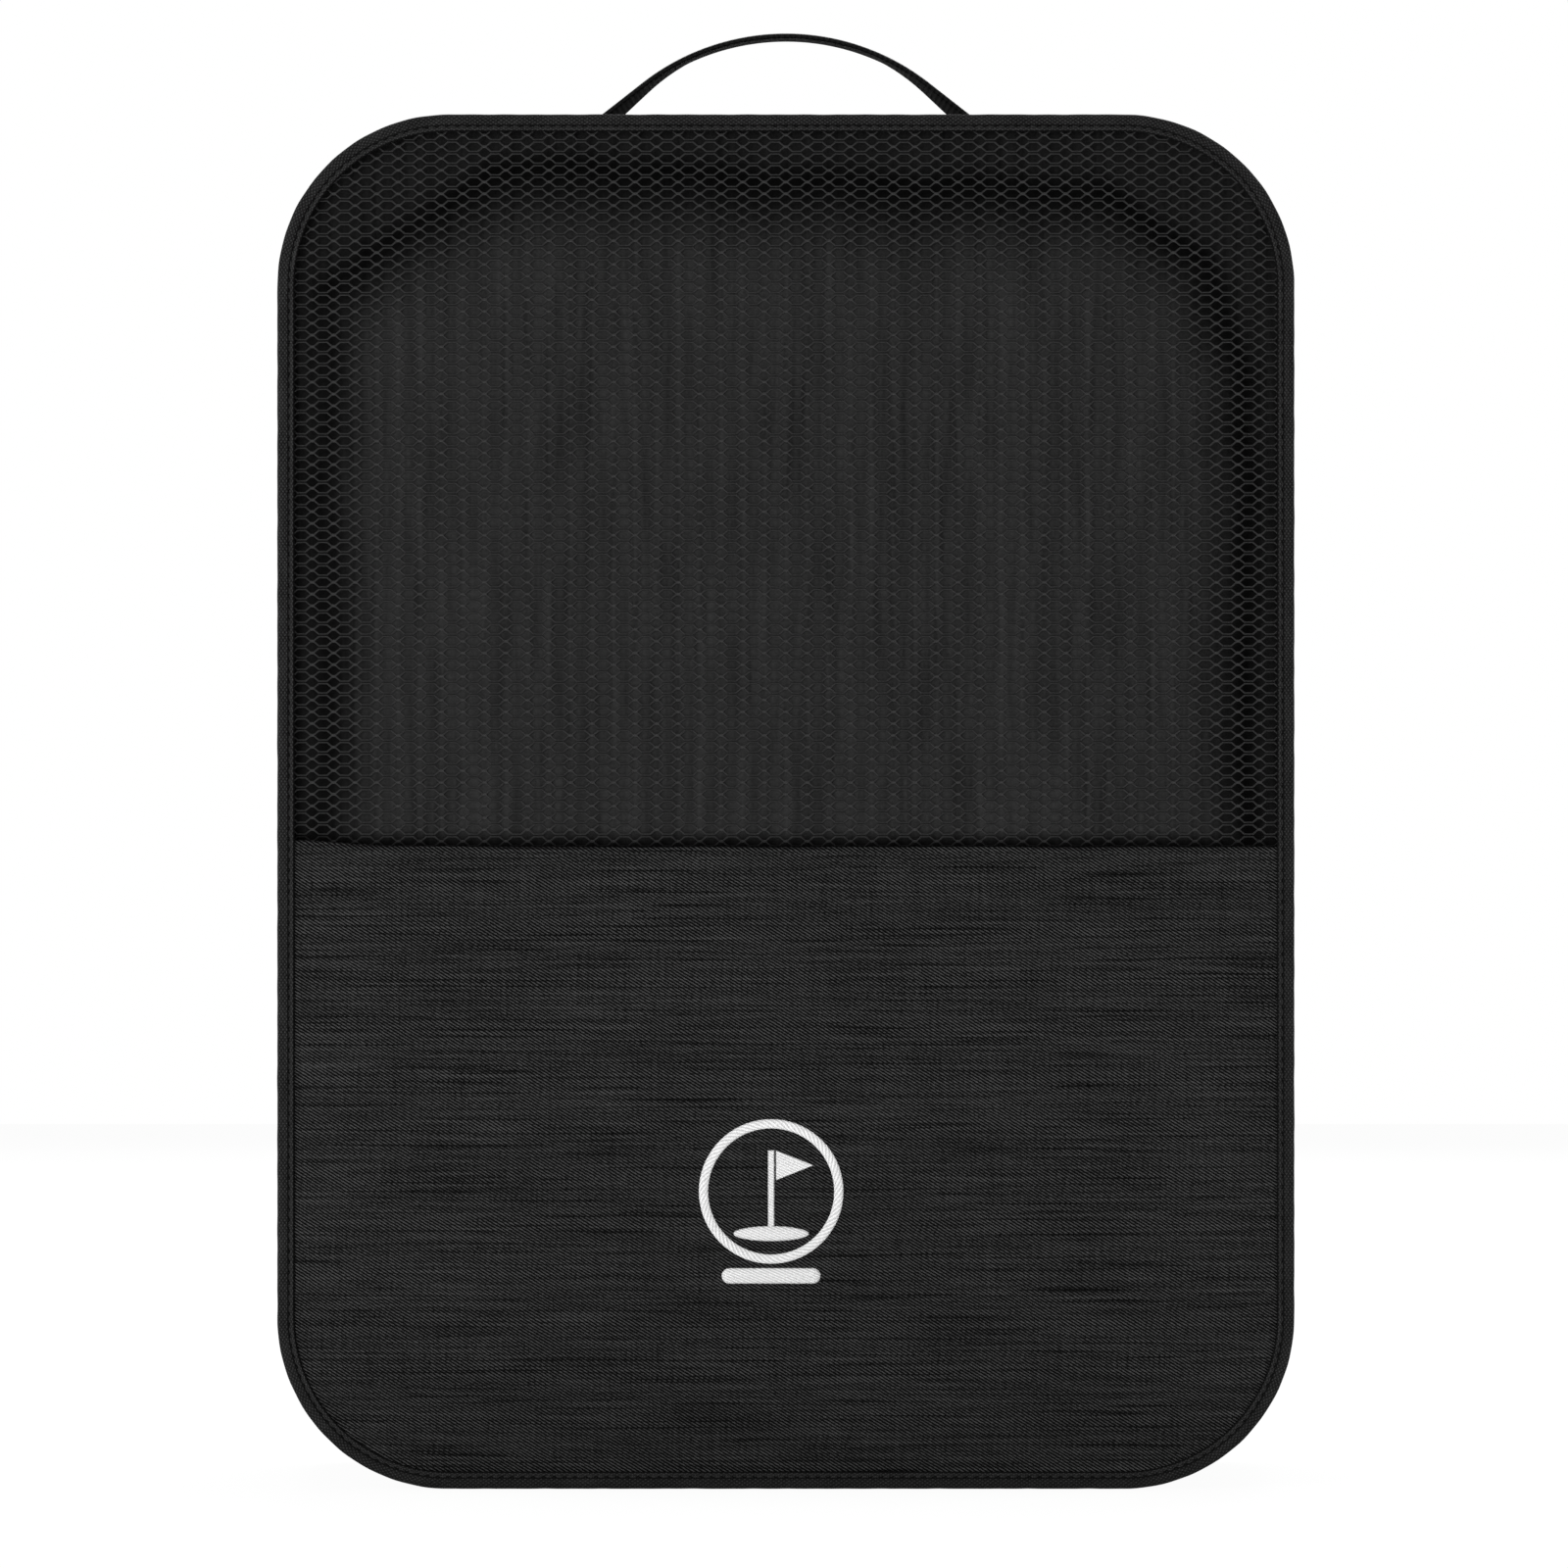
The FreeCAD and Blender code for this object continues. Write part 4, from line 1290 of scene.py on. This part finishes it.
def makeSlider(side, sign):
    low, high = corners(f"zip_slider_{side}")
    x, y = (low[0] + high[0]) / 2, (low[1] + high[1]) / 2
    half, wide = (high[0] - low[0]) / 2, (high[1] - low[1]) / 2
    thick, roof, top = slider["plate"], high[2] - slider["lower"], high[2] - slider["lug"]
    work = bmesh.new()
    shield = []
    for k in range(24):  # narrower towards the closed side
        turn = 2 * math.pi * k / 24
        along, across = math.cos(turn), math.sin(turn)
        swell = wide * (1.0 if along > 0 else 1 - (1 - slider["nose"]) * along ** 2)
        shield.append((x + sign * half * math.copysign(abs(along) ** slider["square"], along),
                       y + swell * math.copysign(abs(across) ** slider["square"], across)))
    plate(work, shield, top - thick, top)
    plate(work, shield, low[2], low[2] + thick)

    def block(kind, middle, z0, z1):
        halfX, halfY, radius = (value * mm for value in slider[kind])
        plate(work, roundedOutline(middle - halfX, middle + halfX, y - halfY, y + halfY, radius), z0, z1)

    block("post", x, low[2] + thick * 0.6, top - thick * 0.6)
    for way in (-1, 1):
        block("foot", x + way * slider["footAt"], top - 0.1 * mm, roof - 0.3 * mm)
    block("bridge", x, roof - 0.5 * mm, roof)
    finishMesh(f"slider_body_{side}", work, slider["bevel"], f"slider_{side}", [f"zip_slider_{side}"],
               "slider_metal")
    makePull(side, sign, x, y)


tab = {"eye": -0.45, "window": 3.6, "neck": 5.2, "grip": 8.5, "length": 24.0, "half": 3.2, "neckHalf": 2.2,
       "windowHalf": 1.5, "thick": 0.9, "ribs": 5, "ribGap": 2.2, "ribHigh": 0.22, "pin": 0.4, "pinHalf": 1.6,
       "bevel": 0.1}


def makePull(side, sign, x, y):
    # A metal tab with a window round the lug, a waist, and a ribbed grip
    low, high = corners(f"pull_tab_{side}")
    z = (low[2] + high[2]) / 2
    half, neck, length, thick = tab["half"], tab["neckHalf"], tab["length"], tab["thick"] * mm
    work = bmesh.new()
    upper = [(tab["eye"], half - 0.4), (0.2, half), (tab["window"] + 0.6, half), (tab["neck"] + 0.8, neck),
             (tab["grip"] - 0.5, neck), (tab["grip"] + 1.2, half), (length - 1.6, half),
             (length - 0.5, half - 0.6), (length, half - 1.7)]
    for mirror in (-1, 1):
        inside = tab["windowHalf"] * mirror
        outline = [(a, b * mirror) for a, b in upper]
        outline += [(length, 0.0), (tab["window"], 0.0), (tab["window"], inside), (tab["eye"], inside)]
        plate(work, [(x + sign * a * mm, y + b * mm) for a, b in outline], z - thick / 2, z + thick / 2)
    bmesh.ops.remove_doubles(work, verts=work.verts, dist=0.01 * mm)
    middle = [face for face in work.faces if all(abs(v.co.y - y) < 0.01 * mm for v in face.verts)]
    bmesh.ops.delete(work, geom=middle, context="FACES_ONLY")
    for k in range(tab["ribs"]):
        rib = x + sign * (tab["grip"] + 3.0 + k * tab["ribGap"]) * mm
        plate(work, roundedOutline(rib - 0.45 * mm, rib + 0.45 * mm, y - 2.2 * mm, y + 2.2 * mm, 0.4 * mm),
              z + thick * 0.4, z + thick / 2 + tab["ribHigh"] * mm)
    turns, pin = np.linspace(0, 2 * math.pi, 12, endpoint=False), tab["pin"] * mm
    rings = [[work.verts.new((x + pin * math.cos(t), y + end, z + pin * math.sin(t))) for t in turns]
             for end in (-tab["pinHalf"] * mm, tab["pinHalf"] * mm)]
    for k in range(12):
        work.faces.new([rings[0][k], rings[0][(k + 1) % 12], rings[1][(k + 1) % 12], rings[1][k]])
    for circle in rings:
        work.faces.new(circle)
    finishMesh(f"pull_grip_{side}", work, tab["bevel"] * mm, f"pull_{side}", [f"pull_tab_{side}"],
               "pull_metal")


for side, sign in (("right", 1), ("left", -1)):
    makeSlider(side, sign)
print("zip ready")


# Shell: padded gussets, linings, mouth bindings and back panel
gusset = {"cloth": 2.0 * mm, "foam": 6.0 * mm, "tuck": 3.2 * mm, "hem": 2.2 * mm, "pucker": 0.22 * mm,
          "lip": ((0.9, 0.15), (0.45, 0.0), (0.05, 0.5), (0.0, 1.2)),
          "seam": ((0.05, -0.4), (0.35, 0.0), (0.05, 0.4)),
          "side": {"crown": 1.0 * mm, "pressure": 1.8, "cap": 2.4 * mm},
          "bottom": {"crown": 0.4 * mm, "pressure": 0.5, "cap": 0.7 * mm}}


def makeGusset(name, nodes, trough):
    low, high = corners(nodes[0])
    clothIn, foamIn, hem = gusset["cloth"], gusset["foam"], gusset["hem"]
    y0, y1, tuck = low[1], high[1], low[1] + gusset["tuck"]
    swell = gusset["bottom" if trough else "side"]
    seam, fine = ripples(gusset["pucker"], 0.009, 61), ripples(0.12 * mm, 0.024, 62)

    def ripple(along, inset, depth):
        face = (inset < clothIn + 0.5 * mm) * 1.0
        fromSeam = np.minimum(np.abs(depth - y1), np.abs(depth - (y0 + hem)))
        crown = archShare(depth, y0, y1) ** 0.7
        puckers = seam(along, depth) * np.exp(-fromSeam / (7 * mm))
        return face * (-swell["crown"] * crown + puckers + fine(along, depth * 3) * crown), 0 * inset

    section = [(clothIn + a * mm, y0 + b * mm) for a, b in gusset["lip"]]
    section += [(clothIn + a * mm, y0 + hem + b * mm) for a, b in gusset["seam"]]
    section += [(clothIn, y) for y in np.linspace(y0 + hem + 1.0 * mm, y1, 30)]
    section += [(foamIn, y) for y in np.linspace(y1, tuck, 12)]
    section += [(clothIn + 0.95 * mm, tuck)]
    walk = bagWalk(3.2 * mm, zipEnd["shell"], trough)
    made = loft(name, walk, section, "gusset", None, nodes, "gusset_twill", ripple)

    def free(points):
        x, y, z = points.T
        return (insetAt(x, z) < clothIn + 1.2 * mm) & (y > y0 + 5 * mm) & (y < y1 - 3 * mm)

    padOut(made, free, swell, "shell")
    path, out = walkPath(bagWalk(1.5 * mm, zipEnd["shell"], trough), clothIn + 0.3 * mm, y0 + hem)
    stitchRun(name + "_topstitch", path, out, "gusset", "shell", "gusset_twill")


wall = {"outer": 6.05 * mm, "inner": 6.6 * mm, "shorter": 0.96}  # shorter: than the outline, at the inset


def makeLiningWall(name, node, trough):
    low, high = corners(node)
    depths = np.linspace(low[1], high[1], 22)
    creased, long = ripples(0.16 * mm, 0.02, 71), ripples(0.10 * mm, 0.05, 72)

    def ripple(along, inset, depth):
        face = (inset > wall["inner"] - 0.1 * mm) * 1.0
        loose = 0.35 + 0.65 * archShare(depth, low[1], high[1])
        return face * (creased(along, depth * 2) + long(along)) * loose * 0.8, 0 * inset

    section = [(wall["outer"], y) for y in depths[::4]] + [(wall["inner"], y) for y in reversed(depths)]
    walk = bagWalk(3.0 * mm, zipEnd["shell"], trough)
    made = loft(name, walk, section, "lining", "shell", [node], "lining_cloth", ripple)
    walk["length"] * wall["shorter"]


mouth = {"tape": 0.5 * mm, "web": 1.5 * mm}


def makeMouthEdge(name, node, trough, top):
    # Binding over the raw edge of foam and lining: a rounded web and a flange with stitches
    low, high = corners(node)
    inner, tape, web = wall["inner"], mouth["tape"], mouth["web"]
    y0, y1 = low[1], high[1]
    section = [(top, y0 + web), (top, y0 + 0.5 * mm), (top + 0.5 * mm, y0), (inner, y0 - 0.15 * mm),
               (inner + tape, y0 + 0.5 * mm), (inner + tape + 0.1 * mm, y0 + 3 * mm),
               (inner + tape, y1 - 1 * mm), (inner + tape * 0.5, y1), (inner, y1), (inner, y0 + web)]
    waves = ripples(0.07 * mm, 0.012, 81)

    def ripple(along, inset, depth):
        return waves(along, depth), waves(along + 0.1, inset) * 0.6

    walk = bagWalk(2.5 * mm, zipEnd["shell"], trough)
    loft(name, walk, section, "binding", "shell", [node], "binding_tape", ripple)
    path, out = walkPath(walk, inner + tape + 0.05 * mm, y1 - 1.8 * mm)
    stitchRun(name + "_stitches", path, -out, "mouth", "shell", "binding_tape")


for trough, part in ((False, "side"), (True, "bottom")):
    makeGusset(f"{part}_gusset_padded", [f"{part}_gusset", f"{part}_gusset_foam"], trough)
for trough, part in ((False, "side"), (True, "bottom")):
    makeLiningWall(f"{part}_inner_lining", f"{part}_gusset_lining", trough)
makeMouthEdge("mouth_edge_binding", "mouth_binding", False, 3.5 * mm)
makeMouthEdge("sill_edge_binding", "sill_binding", True, 3.0 * mm)

rear = {"crown": 1.6 * mm, "pressure": 1.6, "cap": 3.2 * mm}


def makeBackPanel():
    front, back = corners("back_panel_foam")[0][1], corners("back_panel")[1][1]

    def face(x, z):
        inside = smoothStep(insetAt(x, z), 4 * mm, 30 * mm)
        return back - 0.05 * mm + rear["crown"] * inside

    made = panelSlab("padded_back_panel", 2.6 * mm, level(front), face, "panel",
                     nodes=["back_panel", "back_panel_foam"], slot="panel_twill")

    def free(points):
        x, y, z = points.T
        return (y > back - 0.6 * mm) & (insetAt(x, z) > 5.5 * mm)

    padOut(made, free, rear, "shell")
    near, far = corners("back_panel_lining")[0][1], corners("back_panel_lining")[1][1]
    waves = ripples(0.16 * mm, 0.035, 91)

    def inner(x, z):
        return near + waves(x * 0.6 + z * 0.9, x) * smoothStep(insetAt(x, z), 7 * mm, 14 * mm) * 0.9

    lining = panelSlab("back_inner_lining", 3.0 * mm, inner, level(far), "lining", body="shell",
                       nodes=["back_panel_lining"], slot="lining_cloth")


makeBackPanel()


def makeHingeStrip():
    low, high = corners("hinge_strip")
    rows, columns = 10, 60
    x, y = np.meshgrid(np.linspace(low[0], high[0], columns), np.linspace(low[1], high[1], rows))
    waves = ripples(0.08 * mm, 0.012, 95)
    under = low[2] + waves(x, y) * np.sin(np.linspace(0, math.pi, rows))[:, None]
    points, faces = closedSheet(np.stack([x, y, under], -1), np.stack([x, y, np.full(x.shape, high[2])], -1))
    made = piece("hinge_strip_cloth", points, faces, flatLayout(points, faces, 0, 1), "gusset",
                 nodes=["hinge_strip"], slot="gusset_twill")
    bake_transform(made)


makeHingeStrip()
print("shell ready")


# Divider between the shoes
divider = {"corner": 7.0 * mm, "inset": 1.2 * mm, "pressure": 2.0, "cap": 2.4 * mm, "crown": 0.7 * mm,
           "edge": 2.6 * mm, "strip": 0.6 * mm, "stripCorner": 1.5 * mm}


def makeDivider():
    low, high = corners("divider_panel")
    half = (high[0] - low[0]) / 2
    middleY, halfY = (low[1] + high[1]) / 2, (high[1] - low[1]) / 2
    corner = divider["corner"]
    radius = corner - divider["inset"]
    arc = np.linspace(0, math.pi / 2, 8)
    bottom = low[2] + corner - radius * np.cos(arc)
    top = high[2] - corner + radius * np.sin(arc)
    rows = np.concatenate([bottom, np.linspace(bottom[-1], top[0], 80)[1:-1], top])
    reach = halfAt(rows, divider["inset"], halfY, low[2], high[2], corner)
    columns = 30
    spread = np.linspace(-1, 1, columns)
    y = middleY + reach[:, None] * spread[None, :]
    z = np.repeat(rows[:, None], columns, 1)
    edge = insetAt(y - middleY, z, halfY, low[2], high[2], corner)
    swell = half * 0.55 + (half * 0.4 + divider["crown"] * 0.6) * smoothStep(edge, 1.5 * mm, 14 * mm)
    points, faces = closedSheet(np.stack([swell, y, z], -1), np.stack([-swell, y, z], -1))
    made = piece("padded_divider", points, faces, flatLayout(points, faces, 1, 2), "divider",
                 nodes=["divider_panel"], slot="divider_cloth")

    def free(spots):
        return insetAt(spots[:, 1] - middleY, spots[:, 2], halfY, low[2], high[2], corner) > 4 * mm

    padOut(made, free, divider, "shell")
    walk = walkOutline(halfY, low[2], high[2], corner, 2.5 * mm)
    walk["base"] = walk["base"] + np.array([middleY, 0.0])
    width, grip = divider["edge"], half * 0.78
    front = [(width, grip * 0.92), (width * 0.5, grip * 1.05), (0.35 * mm, grip * 0.8)]
    section = front + [(0.0, 0.0)] + [(a, -b) for a, b in reversed(front)] + [(width * 0.9, 0.0)]
    loft("divider_edge_tape", walk, section, "binding", "shell", slot="binding_tape", place=acrossWidth)


def makeStrips(node, finish, label, slot):
    low, high = corners(node)
    thick = divider["strip"]
    for end, z in (("bottom", low[2]), ("top", high[2] - thick)):
        softBox(f"{label}_{end}", (low[0], low[1], z), (high[0], high[1], z + thick), finish,
                divider["stripCorner"], "shell", [node], slot)


makeDivider()
makeStrips("divider_hook_strips", "hooks", "divider_hook_strip", "hook_tape")
makeStrips("lining_loop_strips", "loops", "lining_loop_strip", "loop_tape")
print("divider ready")


# Handle: one length of webbing, sewn flat at both ends, that stands up as an arch
strap = {"width": 15.0 * mm, "thick": 1.05 * mm, "foot": 22.0 * mm, "span": 45.4 * mm, "rise": 35.3 * mm,
         "footBend": 5.0 * mm, "crownBend": 51.4 * mm, "twist": 9.0, "twistRise": 15.0 * mm,
         "soft": 0.45 * mm, "cup": 0.1 * mm, "sway": 0.25 * mm, "turnUp": (0.2 * mm, 1.6 * mm),
         "loosen": (2 * mm, 12 * mm), "seamFrom": 4.5 * mm, "seamEdge": 2 * mm}


def strapRoute(step):
    # Points and directions along the middle of the webbing, from the left foot's end to the right's
    base = corners("handle_foot_right")[0][2] + strap["thick"] / 2
    end = strap["span"] + strap["foot"]
    bends = [strap["footBend"], strap["crownBend"], strap["footBend"]]
    route = [Vector(spot) for spot in ((-end, base), (-strap["span"], base), (0.0, base + strap["rise"]),
                                       (strap["span"], base), (end, base))]
    line = [route[0]]
    for before, corner, after, bend in zip(route, route[1:], route[2:], bends):
        incoming, outgoing = (corner - before).normalized(), (after - corner).normalized()
        turn = incoming.angle(outgoing)
        setback = bend * math.tan(turn / 2)
        start = corner - incoming * setback
        count = max(2, math.ceil((start - line[-1]).length / step))
        first = line[-1].copy()
        line += [first.lerp(start, k / count) for k in range(1, count + 1)]
        side = (outgoing - incoming).normalized()
        centre = corner + side * (bend / math.cos(turn / 2))
        fromAngle = math.atan2(start.y - centre.y, start.x - centre.x)
        spin = 1 if incoming.x * outgoing.y - incoming.y * outgoing.x > 0 else -1
        count = max(4, math.ceil(bend * turn / step))
        line += [centre + Vector((math.cos(fromAngle + spin * turn * k / count),
                                  math.sin(fromAngle + spin * turn * k / count))) * bend
                 for k in range(1, count + 1)]
    count = math.ceil((route[-1] - line[-1]).length / step)
    first = line[-1].copy()
    line += [first.lerp(route[-1], k / count) for k in range(1, count + 1)]
    return np.array([(p.x, p.y) for p in line])


def makeHandle():
    line = strapRoute(1.2 * mm)
    run = runLengths(line)
    ahead = np.gradient(line, axis=0)
    ahead /= np.linalg.norm(ahead, axis=1, keepdims=True)
    floor = line[0, 1]
    rise = line[:, 1] - floor
    straighten = np.clip(1 - (rise - strap["turnUp"][1]) / strap["twistRise"], 0, 1)
    twist = -math.radians(strap["twist"]) * smoothStep(rise, *strap["turnUp"]) * straighten
    half, thick = strap["width"] / 2, strap["thick"] / 2
    soft = strap["soft"]
    shape = [(-half, 0.0), (-half + soft * 0.3, -thick * 0.75), (-half + soft, -thick)]
    shape += [(a, -thick) for a in np.linspace(-half + 2 * mm, half - 2 * mm, 8)]
    shape += [(half - soft, -thick), (half - soft * 0.3, -thick * 0.75), (half, 0.0)]
    shape += [(a, -b) for a, b in reversed(shape[1:-1])]
    shape = np.array(shape)
    waves = ripples(strap["sway"], 0.06, 99)
    points = []
    for k, (x, z) in enumerate(line):
        normal = np.array((-ahead[k, 1], 0.0, ahead[k, 0]))
        side = np.array((0.0, 1.0, 0.0))
        c, s = math.cos(twist[k]), math.sin(twist[k])
        turnedSide, turnedNormal = side * c + normal * s, normal * c - side * s
        lifted = smoothStep(rise[k], *strap["loosen"])
        cup = strap["cup"] * lifted
        for a, b in shape:
            bow = cup * (1 - (a / half) ** 2) - half * abs(s)
            sway = side * waves(run[k]) * lifted
            points.append(np.array((x, 0.0, z)) + turnedSide * a + turnedNormal * (b + bow) + sway)
    rows, columns = len(line), len(shape)
    faces, cells = gridFaces(rows, columns, False, True)
    layout = gridLayout(cells, run, runLengths(np.vstack([shape, shape[:1]])))
    capEnds(faces, layout, rows, shape)
    made = piece("handle_webbing", points, faces, layout, "webbing", slot="webbing",
                 nodes=["handle_strap", "handle_foot_right", "handle_foot_left"])
    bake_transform(made)


def makeFootStitches(sign):  # a box of stitches with a cross, on the sewn foot of the webbing
    top = corners("handle_foot_right")[0][2] + strap["thick"]
    x0, x1 = strap["span"] + strap["seamFrom"], strap["span"] + strap["foot"] - strap["seamEdge"]
    y = strap["width"] / 2 - strap["seamEdge"]
    box = [(x0, -y), (x1, -y), (x1, y), (x0, y), (x0, -y), (x1, y)]
    side = "right" if sign > 0 else "left"
    for number, spots in enumerate((box, [(x0, y), (x1, -y)])):
        path = []
        for (a, b), (c, d) in zip(spots, spots[1:]):
            path += [(sign * (a + (c - a) * k / 12), b + (d - b) * k / 12, top) for k in range(12)]
        path.append((sign * spots[-1][0], spots[-1][1], top))
        out = np.tile((0.0, 0.0, 1.0), (len(path), 1))
        stitchRun(f"handle_stitches_{side}_{number + 1}", path, out, "foot", "shell", "webbing")


makeHandle()
makeFootStitches(1)
makeFootStitches(-1)
print("handle ready")
